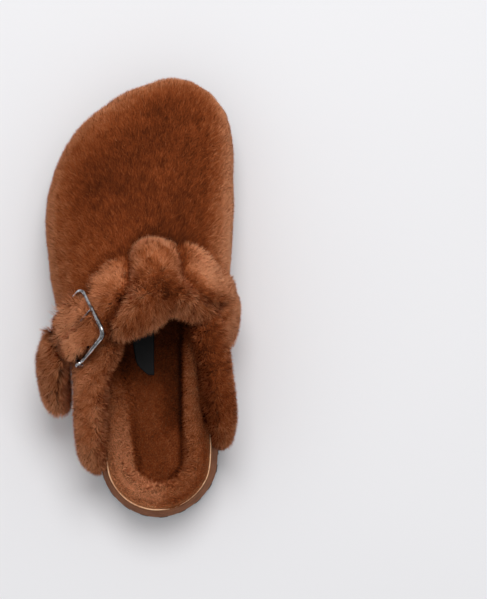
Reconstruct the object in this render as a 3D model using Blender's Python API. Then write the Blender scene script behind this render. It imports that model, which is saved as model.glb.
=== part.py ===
"""A plush shearling clog for the left foot, with a buckled strap across the instep.

The toe points to -Y, the outer side of the foot is +X, and the sole stands on Z = 0.
Lengths are in millimetres until add_object() turns a finished mesh into metres.
"""
import math
from collections import namedtuple

import bmesh
import bpy
from mathutils import Vector

METRES_PER_MM = 0.001
GAP = 0.3                      # clearance between two pieces that touch
WELD_DISTANCE = 0.001

# Driving dimensions of the sole.
RIM_LENGTH = 253.0             # back of the heel to the tip of the toe, at the footbed's rim
BALL_WIDTH = 97.0              # the footbed's rim across the ball of the foot
HEEL_RADIUS = 32.5
HEEL_CENTRE = Vector((-12.5, 96.5))
HEEL_BACK_Y = HEEL_CENTRE.y + HEEL_RADIUS
TOE_FAN_Y = -88.0              # the toe is rounded about a point of the spine here

# Layers of the sole.
OUTSOLE_THICKNESS = 6.0
GROOVE_DEPTH = 1.8
GROOVE_WIDTH = 2.4
GROOVE_PITCH = 12.0
FIRST_GROOVE_Y = 18.0          # the arch has no grooves this far each way from Y = 0
LAST_GROOVE_Y = 114.0
JUTE_THICKNESS = 0.8
WRAP_THICKNESS = 1.2
WALL_FLARE = 4.6               # how far the side wall spreads from the rim to the outsole
LINER_THICKNESS = 5.0
LINER_INSET = 1.8
EDGE_HEIGHT = 1.0
LABEL_THICKNESS = 0.7

# The upper is a skin surface with pile outside it and lining pile inside it.
SKIRT_DROP = 13.0              # the upper reaches this far below the rim
SHOULDER_RISE = 4.0            # above the rim, where the upper starts to close over the foot
SKIN_OFFSET = 0.8              # the skin surface outside the side wall
SHOULDER_BULGE = 1.8
DOME_FULLNESS = 0.93           # below 1 makes a section fuller than an ellipse
OUTER_PILE = 6.5
INNER_PILE = 5.0
PRESSED_PILE = 4.2             # the outer pile under the strap and the buckle
LINING_RISE = 8.0              # the lining starts this far above the rim
VAMP_REAR_Y = 3.0
QUARTER_FRONT_Y = VAMP_REAR_Y + 1.2
QUARTER_TOP_ARCH = 0.56        # where the quarters' top line meets the closed upper
COLLAR_HALF_WIDTH = 9.5
SEAM = 0.5 * GAP               # half the gap between the vamp and its lining
QUARTER_SEAM = 0.8             # the gap between a quarter and its lining

# The strap, laid out on the unrolled upper.
STRAP_HALF_WIDTH = 17.0
STRAP_PILE = 8.0
BACKING_THICKNESS = 1.2
STRAP_GAP = 0.7                # clearance between the strap and the pile under it
UNROLLED_SIDE = 70.0           # from the ridge of the upper to its shoulder, along the skin

# The buckle: its crossbar's middle, the way along the crossbar to the heel, and the way
# down the strap. The third direction points away from the foot.
BUCKLE_CENTRE = Vector((40.8, 26.6, 60.0))
BUCKLE_ACROSS = Vector((-14.5, 28.5, 12.0)).normalized()
BUCKLE_DOWN = Vector((16.0, 17.0, -21.04)).normalized()
BUCKLE_OUT = BUCKLE_DOWN.cross(BUCKLE_ACROSS).normalized()
BUCKLE_AXES = (BUCKLE_ACROSS, BUCKLE_DOWN, BUCKLE_OUT)
BUCKLE_LENGTH = 31.4
BUCKLE_HALF_WIDTH = 17.0
FRAME_RADIUS = 1.5
FRAME_CORNER = 5.0
CROSSBAR_RADIUS = 1.2
PRONG_RADIUS = 0.9
PRONG_SLOT_WIDTH = 3.8
EYE_RADIUS = 3.0
EYE_HALF_LENGTH = 1.5
TAB_HALF_WIDTH = 7.0
TAB_THICKNESS = 1.4
TAB_NOTCH_WIDTH = 4.6          # the prong's hook turns in this notch
TAB_FOOT = Vector((41.5, 32.0, 22.0))
BUCKLED_HALF_WIDTH = 13.8      # the strap narrows to pass through the frame
TAIL_AXIS_OUT = 9.2            # the strap's fold, measured out from the crossbar
TAIL_AXIS_DOWN = 1.0

Ray = namedtuple("Ray", "base spine out")
Skin = namedtuple("Skin", "point low high")


# ---------------------------------------------------------------- helpers

def remove_everything():
    for old in list(bpy.data.objects):
        bpy.data.objects.remove(old, do_unlink=True)


def make_material(name, colour, roughness, metallic=0.0):
    material = bpy.data.materials.new(name)
    material.use_nodes = True
    shader = material.node_tree.nodes["Principled BSDF"]
    shader.inputs["Base Color"].default_value = (*colour, 1.0)
    shader.inputs["Roughness"].default_value = roughness
    shader.inputs["Metallic"].default_value = metallic
    material.diffuse_color = (*colour, 1.0)
    return material


def add_object(name, mesh_data, material, origin=Vector((0.0, 0.0, 0.0))):
    """Turns a bmesh in millimetres into an object in metres with its origin at origin."""
    mesh_data.normal_update()
    bmesh.ops.recalc_face_normals(mesh_data, faces=mesh_data.faces)
    bmesh.ops.triangulate(mesh_data, faces=mesh_data.faces, quad_method="SHORT_EDGE")
    for vertex in mesh_data.verts:
        vertex.co = (vertex.co - origin) * METRES_PER_MM
    mesh = bpy.data.meshes.new(name)
    mesh_data.to_mesh(mesh)
    mesh_data.free()
    mesh.materials.append(material)
    mesh.shade_smooth()
    mesh.set_sharp_from_angle(angle=math.radians(40.0))
    piece = bpy.data.objects.new(name, mesh)
    piece.location = origin * METRES_PER_MM
    bpy.context.scene.collection.objects.link(piece)
    return piece


def combine(piece, name, other_mesh, operation):
    """Joins a closed bmesh in millimetres to piece, or cuts piece with it."""
    other = add_object(name, other_mesh, piece.data.materials[0])
    other.hide_render = True
    other.display_type = "WIRE"
    boolean = piece.modifiers.new(name, "BOOLEAN")
    boolean.operation = operation
    boolean.solver = "EXACT"
    boolean.object = other


def cut(piece, name, cutter_mesh):
    combine(piece, name, cutter_mesh, "DIFFERENCE")


def mix(start, end, amount):
    return start + (end - start) * amount


def smooth_step(value):
    value = min(1.0, max(0.0, value))
    return value * value * (3.0 - 2.0 * value)


def profile(knots, position):
    """Reads a smooth curve through (position, value) knots in rising order."""
    position = min(max(position, knots[0][0]), knots[-1][0])
    slopes = []
    for index in range(len(knots)):
        before = knots[max(index - 1, 0)]
        after = knots[min(index + 1, len(knots) - 1)]
        slopes.append((after[1] - before[1]) / (after[0] - before[0]))
    for index, (low, high) in enumerate(zip(knots, knots[1:])):
        if position <= high[0]:
            span = high[0] - low[0]
            t = (position - low[0]) / span
            return (mix(low[1], high[1], smooth_step(t))
                    + span * t * (1.0 - t) * (slopes[index] * (1.0 - t) - slopes[index + 1] * t))
    return knots[-1][1]


def catmull_rom(points, steps):
    """A closed smooth curve through the points."""
    curve = []
    count = len(points)
    for index in range(count):
        before, start, end, after = (points[(index + shift) % count] for shift in (-1, 0, 1, 2))
        for step in range(steps):
            t = step / steps
            curve.append(0.5 * (2.0 * start + (end - before) * t
                                + (2.0 * before - 5.0 * start + 4.0 * end - after) * t * t
                                + (3.0 * start - before - 3.0 * end + after) * t * t * t))
    return curve


# ---------------------------------------------------------------- the footprint

def rim_outline():
    """The rim of the footbed: an arc at the heel, then a smooth curve round the toe.

    Its points are (share of BALL_WIDTH, share of RIM_LENGTH from the back of the heel).
    """
    shape = (
        (0.240, 0.247), (0.330, 0.388), (0.435, 0.525), (0.487, 0.655), (0.488, 0.749),
        (0.400, 0.847), (0.225, 0.925), (0.000, 0.980), (-0.200, 1.000), (-0.372, 0.973),
        (-0.475, 0.902), (-0.510, 0.788), (-0.500, 0.647), (-0.469, 0.490), (-0.459, 0.310),
    )
    points = []
    for degrees in (150, 120, 90, 60, 30, 0):
        turn = math.radians(degrees)
        points.append(HEEL_CENTRE + HEEL_RADIUS * Vector((math.cos(turn), math.sin(turn))))
    for across, along in shape:
        points.append(Vector((across * BALL_WIDTH, HEEL_BACK_Y - along * RIM_LENGTH)))
    points.append(HEEL_CENTRE - Vector((HEEL_RADIUS, 0.0)))
    return catmull_rom(points, 14)


RIM = rim_outline()


def rim_across(y):
    """The rim's inner-side and outer-side X at a distance along the foot."""
    crossings = []
    for start, end in zip(RIM, RIM[1:] + RIM[:1]):
        if (start.y - y) * (end.y - y) <= 0.0 and start.y != end.y:
            crossings.append(mix(start.x, end.x, (y - start.y) / (end.y - start.y)))
    return min(crossings), max(crossings)


def spine_x(y):
    inner, outer = rim_across(y)
    return 0.5 * (inner + outer)


def rim_towards(centre, degrees):
    """The rim's point seen from centre in a direction."""
    turn = math.radians(degrees)
    way = Vector((math.cos(turn), math.sin(turn)))
    best = None
    for start, end in zip(RIM, RIM[1:] + RIM[:1]):
        first = way.x * (start.y - centre.y) - way.y * (start.x - centre.x)
        second = way.x * (end.y - centre.y) - way.y * (end.x - centre.x)
        if first * second > 0.0 or first == second:
            continue
        hit = mix(start, end, first / (first - second))
        if (hit - centre).dot(way) > 0.0:
            best = hit
    return best


def side_rays(ys, side):
    """Rays from the spine to the rim at each y. side is +1 outer, -1 inner."""
    rays = []
    for y in ys:
        inner, outer = rim_across(y)
        base = Vector((outer if side > 0 else inner, y))
        rays.append(Ray(base, Vector((spine_x(y), y)), Vector((side, 0.0))))
    return rays


def fan_rays(centre, angles):
    rays = []
    for degrees in angles:
        base = rim_towards(centre, degrees)
        rays.append(Ray(base, centre.copy(), (base - centre).normalized()))
    return rays


def stations(first, last, count):
    return [mix(first, last, index / (count - 1)) for index in range(count)]


def toe_fan():
    centre = Vector((spine_x(TOE_FAN_Y), TOE_FAN_Y))
    return fan_rays(centre, stations(0.0, -180.0, 13)[1:-1])


def sole_rays():
    """All the way round: outer side to the toe, inner side back, then the heel."""
    ys = stations(HEEL_CENTRE.y, TOE_FAN_Y, 13)
    heel = fan_rays(HEEL_CENTRE, stations(180.0, 0.0, 11)[1:-1])
    return side_rays(ys, 1) + toe_fan() + side_rays(ys[::-1], -1) + heel


# ---------------------------------------------------------------- heights along the foot

def floor_height(y):
    """The underside: flat from the heel to the ball, with a little spring at the toe."""
    return 8.0 * max(0.0, (-52.0 - y) / 80.0) ** 2


def rim_height(y):
    return profile(((-130, 30.0), (-60, 25.5), (20, 31.0), (130, 33.0)), y)


def seat_height(y):
    """The top of the cork along the spine: toe, ball, arch and heel cup."""
    return profile(((-125, 21.0), (-60, 16.5), (20, 22.0), (95, 17.0)), y)


def bed_height(y, share):
    """The top of the cork at a share of the way from the spine to the rim."""
    return mix(seat_height(y), rim_height(y), share ** 3)


def ridge_height(y):
    """The skin of the upper along its ridge."""
    return profile(((TOE_FAN_Y, 51.0), (-45, 60.0), (0, 71.0), (45, 80.0)), y)


def wall_offset(y, z):
    """How far the side wall stands outside the rim at a height."""
    foot = floor_height(y) + OUTSOLE_THICKNESS
    return WALL_FLARE * (rim_height(y) - z) / (rim_height(y) - foot)


# ---------------------------------------------------------------- mesh builders

def ray_point(ray, share, offset, z):
    plan = mix(ray.spine, ray.base + ray.out * offset, share)
    return Vector((plan.x, plan.y, z))


def ray_y(ray, share):
    return mix(ray.spine.y, ray.base.y, share)


def add_grid(mesh_data, rows, closed_rows=False, closed_columns=False):
    """Faces over rows of points; returns the rows of vertices."""
    vertices = [[mesh_data.verts.new(point) for point in row] for row in rows]
    row_pairs = list(zip(vertices, vertices[1:]))
    if closed_rows:
        row_pairs.append((vertices[-1], vertices[0]))
    for first, second in row_pairs:
        count = len(first)
        last = count if closed_columns else count - 1
        for index in range(last):
            after = (index + 1) % count
            mesh_data.faces.new((first[index], first[after], second[after], second[index]))
    return vertices


def tidy(mesh_data):
    bmesh.ops.remove_doubles(mesh_data, verts=mesh_data.verts, dist=WELD_DISTANCE)


def ring_solid(rings):
    """A closed solid through closed rings.

    The first ring and the last are spines: each is folded flat, and its halves are welded.
    """
    mesh_data = bmesh.new()
    add_grid(mesh_data, rings, closed_columns=True)
    tidy(mesh_data)
    return mesh_data


def band_solid(rings):
    """A closed band: the last ring joins the first."""
    mesh_data = bmesh.new()
    add_grid(mesh_data, rings, closed_rows=True, closed_columns=True)
    return mesh_data


def sheet_solid(rows):
    """A closed solid between two offsets of a sheet of Skin points.

    The sheet faces the side from which its columns run up while its rows run to the left.
    """
    sheet = bmesh.new()
    low_layer = sheet.verts.layers.float.new("low")
    high_layer = sheet.verts.layers.float.new("high")
    vertices = add_grid(sheet, [[skin.point for skin in row] for row in rows])
    for vertex_row, row in zip(vertices, rows):
        for vertex, skin in zip(vertex_row, row):
            vertex[low_layer] = skin.low
            vertex[high_layer] = skin.high
    tidy(sheet)
    sheet.normal_update()
    solid = bmesh.new()
    low = {v: solid.verts.new(v.co + v.normal * v[low_layer]) for v in sheet.verts}
    high = {v: solid.verts.new(v.co + v.normal * v[high_layer]) for v in sheet.verts}
    for face in sheet.faces:
        solid.faces.new([high[v] for v in face.verts])
        solid.faces.new([low[v] for v in reversed(face.verts)])
    for edge in sheet.edges:
        if edge.is_boundary:
            start, end = edge.verts
            solid.faces.new((low[start], low[end], high[end], high[start]))
    sheet.free()
    return solid


def tube_solid(path, radii, sides, across=None):
    """A round bar along a path, with flat ends. across fixes the section's first axis."""
    mesh_data = bmesh.new()
    rings = []
    side = across or path_way(path, 0).orthogonal()
    for index, point in enumerate(path):
        way = path_way(path, index)
        side = (side - way * side.dot(way)).normalized()
        other = way.cross(side)
        ring = []
        for step in range(sides):
            turn = math.tau * step / sides
            offset = side * math.cos(turn) + other * math.sin(turn)
            ring.append(point + offset * radii[index])
        rings.append(ring)
    vertices = add_grid(mesh_data, rings, closed_columns=True)
    mesh_data.faces.new(vertices[0])
    mesh_data.faces.new(vertices[-1])
    return mesh_data


def path_way(path, index):
    """The path's direction at a point."""
    before = path[max(index - 1, 0)]
    after = path[min(index + 1, len(path) - 1)]
    return (after - before).normalized()


def lobe_solid(centres, across, halves, thicknesses, sides=12):
    """A soft strip with an oval section that varies along its length."""
    mesh_data = bmesh.new()
    rings = []
    for index, centre in enumerate(centres):
        way = path_way(centres, index)
        width = (across[index] - way * across[index].dot(way)).normalized()
        normal = way.cross(width)
        ring = []
        for step in range(sides):
            turn = math.tau * step / sides
            ring.append(centre + width * halves[index] * math.cos(turn)
                        + normal * thicknesses[index] * math.sin(turn))
        rings.append(ring)
    vertices = add_grid(mesh_data, rings, closed_columns=True)
    mesh_data.faces.new(vertices[0])
    mesh_data.faces.new(vertices[-1])
    return mesh_data


def add_box(mesh_data, centre, sizes, axes):
    """A box with its own three directions."""
    for vertex in bmesh.ops.create_cube(mesh_data, size=1.0)["verts"]:
        corner = vertex.co.copy()
        vertex.co = centre.copy()
        for axis, share, size in zip(axes, corner, sizes):
            vertex.co += axis * share * size


# ---------------------------------------------------------------- the sole

def slab_ring(rays, share, offset, lift):
    """A ring that follows the underside at a height above it."""
    return [ray_point(ray, share, offset, floor_height(ray_y(ray, share)) + lift)
            for ray in rays]


def bed_ring(rays, share, offset, lift):
    """A ring that follows the top of the cork at a height above it."""
    return [ray_point(ray, share, offset, bed_height(ray_y(ray, share), share) + lift)
            for ray in rays]


def make_outsole(rays, material):
    """A rubber sole with a scalloped edge and grooves between its treads."""
    scallop = [WALL_FLARE + 0.5 * (1.0 + math.cos(math.pi * index)) for index in range(len(rays))]
    foot = [ray_point(ray, 1.0, out, floor_height(ray.base.y)) for ray, out in zip(rays, scallop)]
    rings = [
        slab_ring(rays, 0.0, 0.0, 0.0),
        slab_ring(rays, 0.9, WALL_FLARE, 0.0),
        foot,
        slab_ring(rays, 1.0, WALL_FLARE, OUTSOLE_THICKNESS),
        slab_ring(rays, 0.0, 0.0, OUTSOLE_THICKNESS),
    ]
    outsole = add_object("outsole", ring_solid(rings), material)
    cut(outsole, "tread_grooves", tread_grooves())


def tread_grooves():
    """Boxes that cut straight grooves across the underside, but for the arch."""
    grooves = bmesh.new()
    axes = (Vector((1.0, 0.0, 0.0)), Vector((0.0, 1.0, 0.0)), Vector((0.0, 0.0, 1.0)))
    sizes = (1.5 * BALL_WIDTH, GROOVE_WIDTH, 2.0 * GROOVE_DEPTH)
    count = round((LAST_GROOVE_Y - FIRST_GROOVE_Y) / GROOVE_PITCH)
    for index in range(count + 1):
        along = FIRST_GROOVE_Y + index * GROOVE_PITCH
        for y in (along, -along):
            add_box(grooves, Vector((0.0, y, floor_height(y))), sizes, axes)
    return grooves


def make_lower_jute(rays, material):
    low = OUTSOLE_THICKNESS + GAP
    high = low + JUTE_THICKNESS
    edge = WALL_FLARE - WRAP_THICKNESS - 2.0 * GAP
    rings = [
        slab_ring(rays, 0.0, 0.0, low),
        slab_ring(rays, 1.0, edge, low),
        slab_ring(rays, 1.0, edge, high),
        slab_ring(rays, 0.0, 0.0, high),
    ]
    add_object("lower_jute_layer", ring_solid(rings), material)


def make_cork(rays, material):
    low = OUTSOLE_THICKNESS + JUTE_THICKNESS + 2.0 * GAP
    inset = WRAP_THICKNESS + 2.0 * GAP
    rings = [
        slab_ring(rays, 0.0, 0.0, low),
        slab_ring(rays, 1.0, WALL_FLARE - inset, low),
        bed_ring(rays, 1.0, -inset, 0.0),
        bed_ring(rays, 0.75, 0.0, 0.0),
        bed_ring(rays, 0.4, 0.0, 0.0),
        bed_ring(rays, 0.0, 0.0, 0.0),
    ]
    add_object("cork_footbed", ring_solid(rings), material)


def make_upper_jute(rays, material):
    high = GAP + JUTE_THICKNESS
    rings = [
        bed_ring(rays, 0.0, 0.0, GAP),
        bed_ring(rays, 0.4, 0.0, GAP),
        bed_ring(rays, 0.75, 0.0, GAP),
        bed_ring(rays, 1.0, -LINER_INSET, GAP),
        bed_ring(rays, 1.0, -LINER_INSET, high),
        bed_ring(rays, 0.75, 0.0, high),
        bed_ring(rays, 0.4, 0.0, high),
        bed_ring(rays, 0.0, 0.0, high),
    ]
    add_object("upper_jute_layer", ring_solid(rings), material)


def make_liner(rays, material):
    """The shearling that the foot stands on, with a rounded rim."""
    low = 2.0 * GAP + JUTE_THICKNESS
    rings = [
        bed_ring(rays, 0.0, 0.0, low),
        bed_ring(rays, 0.4, 0.0, low),
        bed_ring(rays, 0.75, 0.0, low),
        bed_ring(rays, 1.0, -LINER_INSET, low),
        bed_ring(rays, 0.99, -LINER_INSET, low + 0.5 * LINER_THICKNESS),
        bed_ring(rays, 0.92, 0.0, low + LINER_THICKNESS),
        bed_ring(rays, 0.75, 0.0, low + LINER_THICKNESS),
        bed_ring(rays, 0.4, 0.0, low + LINER_THICKNESS),
        bed_ring(rays, 0.0, 0.0, low + LINER_THICKNESS),
    ]
    add_object("footbed_liner", ring_solid(rings), material)


def make_side_wrap(rays, material):
    """The suede band round the side of the sole."""
    low = OUTSOLE_THICKNESS + GAP
    rings = []
    for offset in (0.0, -WRAP_THICKNESS):
        bottom = slab_ring(rays, 1.0, WALL_FLARE + offset, low)
        top = [ray_point(ray, 1.0, offset, rim_height(ray.base.y)) for ray in rays]
        rings += [bottom, top] if offset == 0.0 else [top, bottom]
    add_object("sole_side_wrap", band_solid(rings), material)


def make_rim_edge(rays, material):
    """The cut edge of the liner's skin, which lies on the wrap as a pale line."""
    rings = []
    for offset, lift in ((-1.4, GAP), (-0.1, GAP), (-0.1, GAP + EDGE_HEIGHT),
                         (-1.4, GAP + EDGE_HEIGHT)):
        rings.append([ray_point(ray, 1.0, offset, rim_height(ray.base.y) + lift)
                      for ray in rays])
    add_object("liner_skin_edge", band_solid(rings), material)


def make_label(material):
    """The blank woven label, laid on the liner inside the throat."""
    lift = 3.0 * GAP + JUTE_THICKNESS + LINER_THICKNESS
    rows = []
    for x in stations(-9.0, 5.0, 5):
        row = []
        for y in stations(46.0, 0.0, 7):
            inner, outer = rim_across(y)
            share = abs(x - spine_x(y)) / (0.5 * (outer - inner))
            row.append(Skin(Vector((x, y, bed_height(y, share) + lift)), 0.0, LABEL_THICKNESS))
        rows.append(row)
    add_object("woven_label", sheet_solid(rows), material)


# ---------------------------------------------------------------- the upper

def upper_point(ray, arch):
    """The skin of the upper. arch is 0 on the ridge, 1 at the shoulder, 2 at the bottom."""
    y = ray.base.y
    rim = rim_height(y)
    shoulder = rim + SHOULDER_RISE
    if arch > 1.0:
        z = mix(shoulder, rim - SKIRT_DROP, arch - 1.0)
        if z < rim:
            offset = SKIN_OFFSET + wall_offset(y, z)
        else:
            offset = mix(SKIN_OFFSET, SHOULDER_BULGE, (z - rim) / SHOULDER_RISE)
        return ray_point(ray, 1.0, offset, z)
    turn = math.radians(90.0) * (1.0 - arch)
    plan_share = math.cos(turn) ** DOME_FULLNESS if arch > 0.0 else 0.0
    rise = math.sin(turn) ** DOME_FULLNESS if arch < 1.0 else 0.0
    top = ridge_height(max(y, TOE_FAN_Y))
    return ray_point(ray, plan_share, SHOULDER_BULGE, mix(shoulder, top, rise))


def vamp_rays():
    ys = stations(VAMP_REAR_Y, TOE_FAN_Y, 8)
    return side_rays(ys, 1) + toe_fan() + side_rays(ys[::-1], -1)


def make_vamp(shell_material, lining_material):
    rays = vamp_rays()
    shell_rows = []
    lining_rows = []
    for ray in rays:
        shell_rows.append([Skin(upper_point(ray, arch), SEAM,
                                mix(4.5, OUTER_PILE, smooth_step(4.0 - 2.0 * arch)))
                           for arch in (2.0, 1.7, 1.35, 1.0, 0.85, 0.7, 0.52, 0.34, 0.17, 0.0)])
        lining_rows.append([Skin(upper_point(ray, arch), -INNER_PILE, -SEAM)
                            for arch in (0.82, 0.68, 0.52, 0.34, 0.17, 0.0)])
    add_object("vamp_shell", sheet_solid(shell_rows), shell_material)
    add_object("vamp_lining", sheet_solid(lining_rows), lining_material)


def rim_ray(side, y):
    return side_rays([y], side)[0]


def quarter_top(side, y, rear_y):
    """The top line of a quarter, which turns down at the rear end."""
    if side > 0:
        top = profile(((6, 67.0), (30, 63.0), (60, 59.0), (104, 50.0)), y)
    else:
        top = profile(((6, 67.0), (35, 63.0), (60, 59.0), (90, 50.0)), y)
    return top - 8.0 * smooth_step((y - rear_y + 16.0) / 16.0) ** 2


def quarter_lean(side, y):
    """How far the top line leans out over the rim."""
    if side > 0:
        return profile(((6, 0.0), (40, 2.5), (70, 7.0), (104, 9.0)), y)
    return profile(((6, 0.5), (50, 5.5), (90, 8.0)), y)


def quarter_point(side, y, up, rear_y):
    """The skin of a quarter, from its bottom edge (0) to its top line (1)."""
    ray = rim_ray(side, y)
    arch = upper_point(ray, mix(2.0, QUARTER_TOP_ARCH, up))
    rim = rim_height(y)
    top = quarter_top(side, y, rear_y)
    z = mix(rim - SKIRT_DROP, top, up)
    if z < rim:
        offset = SKIN_OFFSET + wall_offset(y, z)
    else:
        lean = quarter_lean(side, y)
        offset = SKIN_OFFSET + lean * ((z - rim) / (top - rim)) ** 1.3
    wall = ray_point(ray, 1.0, offset, z)
    return mix(arch, wall, wall_share(side, y))


def wall_share(side, y):
    """A quarter turns from the closed upper (0) into a free wall (1) behind the strap."""
    return smooth_step((y - (12.0 if side > 0 else 20.0)) / 26.0)


def make_quarter(side, name, rear_y, shell_material, lining_material):
    shell_rows = []
    for y in stations(QUARTER_FRONT_Y, rear_y, 10):
        rear = (y - QUARTER_FRONT_Y) / (rear_y - QUARTER_FRONT_Y)
        pile = mix(PRESSED_PILE, 8.5, smooth_step((rear - 0.35) * 2.5)) * round_off(rear)
        shell_rows.append([Skin(quarter_point(side, y, up, rear_y), SEAM,
                                pile * round_off(up)) for up in stations(0.0, 1.0, 9)])
    lining_rows = []
    for y in stations(QUARTER_FRONT_Y, rear_y - 10.0, 8):
        rear = (y - QUARTER_FRONT_Y) / (rear_y - 10.0 - QUARTER_FRONT_Y)
        rim = rim_height(y)
        drop = quarter_top(side, y, rear_y) - rim + SKIRT_DROP
        bottom = mix(0.78, (SKIRT_DROP + LINING_RISE) / drop, wall_share(side, y))
        pile = 7.0 * round_off(rear)
        lining_rows.append([Skin(quarter_point(side, y, up, rear_y), -pile * round_off(up),
                                 -QUARTER_SEAM) for up in stations(bottom, 1.0, 6)])
    if side > 0:
        shell_rows.reverse()
        lining_rows.reverse()
    add_object(name + "_quarter_shell", sheet_solid(shell_rows), shell_material)
    add_object(name + "_quarter_lining", sheet_solid(lining_rows), lining_material)


def round_off(share):
    """1 along most of a piece, falling away as share nears 1."""
    return math.sqrt(1.0 - (0.93 * share) ** 8)


def vamp_skin(arch, y):
    """The skin of the upper at a signed arch (+ outer side) and a distance along the foot."""
    return upper_point(rim_ray(1 if arch >= 0.0 else -1, y), abs(arch))


def lifted_skin(arch, y, lift):
    """A point above the skin of the upper, square to it."""
    step = 0.02
    across = vamp_skin(arch + step, y) - vamp_skin(arch - step, y)
    along = vamp_skin(arch, y + 1.0) - vamp_skin(arch, y - 1.0)
    normal = across.cross(along).normalized()
    return vamp_skin(arch, y) + normal * lift


def make_throat_collar(material):
    """The rolled edge of the vamp at the throat."""
    centres = []
    across = []
    halves = []
    thicknesses = []
    for share in stations(0.0, 1.0, 17):
        arch = mix(-0.50, 0.42, share)
        ends = math.sqrt(1.0 - 0.75 * abs(2.0 * share - 1.0) ** 6)
        half = COLLAR_HALF_WIDTH * ends
        bump = 4.0 * math.exp(-((share - 0.80) / 0.14) ** 2)
        centres.append(lifted_skin(arch, VAMP_REAR_Y + GAP + COLLAR_HALF_WIDTH + bump, 0.8))
        across.append(Vector((0.0, 1.0, 0.0)))
        halves.append(half)
        thicknesses.append(5.4 * ends)
    add_object("throat_collar", lobe_solid(centres, across, halves, thicknesses), material)


# ---------------------------------------------------------------- strap and buckle

def buckle_point(across, up, out):
    """A point in the buckle's own directions; up runs from the crossbar to the end bar."""
    return BUCKLE_CENTRE + BUCKLE_ACROSS * across - BUCKLE_DOWN * up + BUCKLE_OUT * out


def strap_centre_y(across):
    """The strap's middle line on the unrolled upper. across is + on the outer side."""
    return profile(((-100, 19.0), (-72, 8.0), (-50, -6.5), (-28, -15.5), (-10, -17.0),
                    (4, -11.0), (30, 8.8)), across)


def strap_point(across, share, lift):
    """A point above the upper's skin under the strap; share is -1 front to +1 rear."""
    slope = (strap_centre_y(across + 1.0) - strap_centre_y(across - 1.0)) * 0.5
    turn = math.atan(slope)
    half = mix(STRAP_HALF_WIDTH, BUCKLED_HALF_WIDTH, smooth_step((across + 6.0) / 20.0))
    arch = (across - share * half * math.sin(turn)) / UNROLLED_SIDE
    y = strap_centre_y(across) + share * half * math.cos(turn)
    return lifted_skin(arch, y, lift)


def make_strap(material, backing_material):
    """The strap lies on the upper, passes under the end bar and rises over the crossbar."""
    base = OUTER_PILE + STRAP_GAP
    lift = base + BACKING_THICKNESS + GAP
    shares = stations(1.0, -1.0, 9)
    over_vamp = stations(-80.0, 14.0, 20)
    rows = []
    for index, across in enumerate(over_vamp):
        along = index / (len(over_vamp) - 1)
        lobes = 0.70 + 0.30 * abs(math.sin(math.pi * (3.4 * along + 0.1)))
        pile = mix(STRAP_PILE * lobes, 4.6, smooth_step((along - 0.9) / 0.1))
        rows.append([Skin(strap_point(across, share, lift), 0.0, pile * strap_edge(share))
                     for share in shares])
    for up, out, pile in ((37.0, -8.0, 4.2), (31.0, -6.0, 3.7), (25.0, -4.6, 4.4),
                          (19.0, -2.8, 5.4), (13.0, -0.2, 5.8), (8.0, 2.2, 5.8),
                          (4.0, 3.5, 5.6), (0.6, 3.7, 5.3)):
        tilt = smooth_step(up / 30.0) * 1.6
        rows.append([Skin(buckle_point(share * BUCKLED_HALF_WIDTH, up, out - tilt * share),
                          0.0, pile * strap_edge(share)) for share in shares])
    strap = add_object("instep_strap", sheet_solid(rows), material)
    slot = bmesh.new()
    add_box(slot, buckle_point(0.0, 10.0, 3.0), (PRONG_SLOT_WIDTH, 28.0, 24.0), BUCKLE_AXES)
    cut(strap, "prong_slot", slot)

    backing_rows = [[Skin(strap_point(across, 0.94 * share, base), 0.0, BACKING_THICKNESS)
                     for share in shares] for across in over_vamp[:-1]]
    add_object("instep_strap_backing", sheet_solid(backing_rows), backing_material)


def strap_edge(share):
    """The pile thins towards the strap's two long edges."""
    return math.sqrt(1.0 - (0.92 * abs(share)) ** 4)


def tail_axis():
    return buckle_point(0.0, -TAIL_AXIS_DOWN, TAIL_AXIS_OUT)


def make_strap_tail(material):
    """The strap's free end, which folds over the crossbar and hangs beside the quarter."""
    centres = [buckle_point(0.0, -1.6, 6.4), buckle_point(0.0, -6.0, 6.4),
               Vector((50.5, 38.0, 51.0)), Vector((51.0, 47.0, 42.0)),
               Vector((50.0, 56.0, 34.0)), Vector((48.5, 63.0, 28.0)),
               Vector((47.5, 66.5, 25.0))]
    hanging = Vector((-0.12, 0.66, 0.75))
    across = [BUCKLE_ACROSS.lerp(hanging, share) for share in (0, 0.1, 0.4, 0.7, 0.9, 1, 1)]
    halves = [13.0, 13.6, 14.5, 15.0, 14.0, 11.0, 6.0]
    thicknesses = [2.4, 3.8, 6.6, 7.4, 7.2, 5.6, 3.0]
    tail = lobe_solid(centres, across, halves, thicknesses)
    add_object("strap_tail", tail, material, tail_axis())


def ring_points(centre, radius, count):
    """Points of a circle about the crossbar's direction."""
    points = []
    for step in range(count):
        turn = math.tau * step / count
        points.append(centre + BUCKLE_DOWN * radius * math.cos(turn)
                      + BUCKLE_OUT * radius * math.sin(turn))
    return points


def make_frame_eye(side):
    """A ring at the end of the buckle's side bar, round the end of the crossbar."""
    near = buckle_point(side * BUCKLE_HALF_WIDTH - EYE_HALF_LENGTH, 0.0, 0.0)
    far = buckle_point(side * BUCKLE_HALF_WIDTH + EYE_HALF_LENGTH, 0.0, 0.0)
    hole = CROSSBAR_RADIUS + GAP
    return band_solid([ring_points(near, EYE_RADIUS, 18), ring_points(far, EYE_RADIUS, 18),
                       ring_points(far, hole, 18), ring_points(near, hole, 18)])


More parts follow.
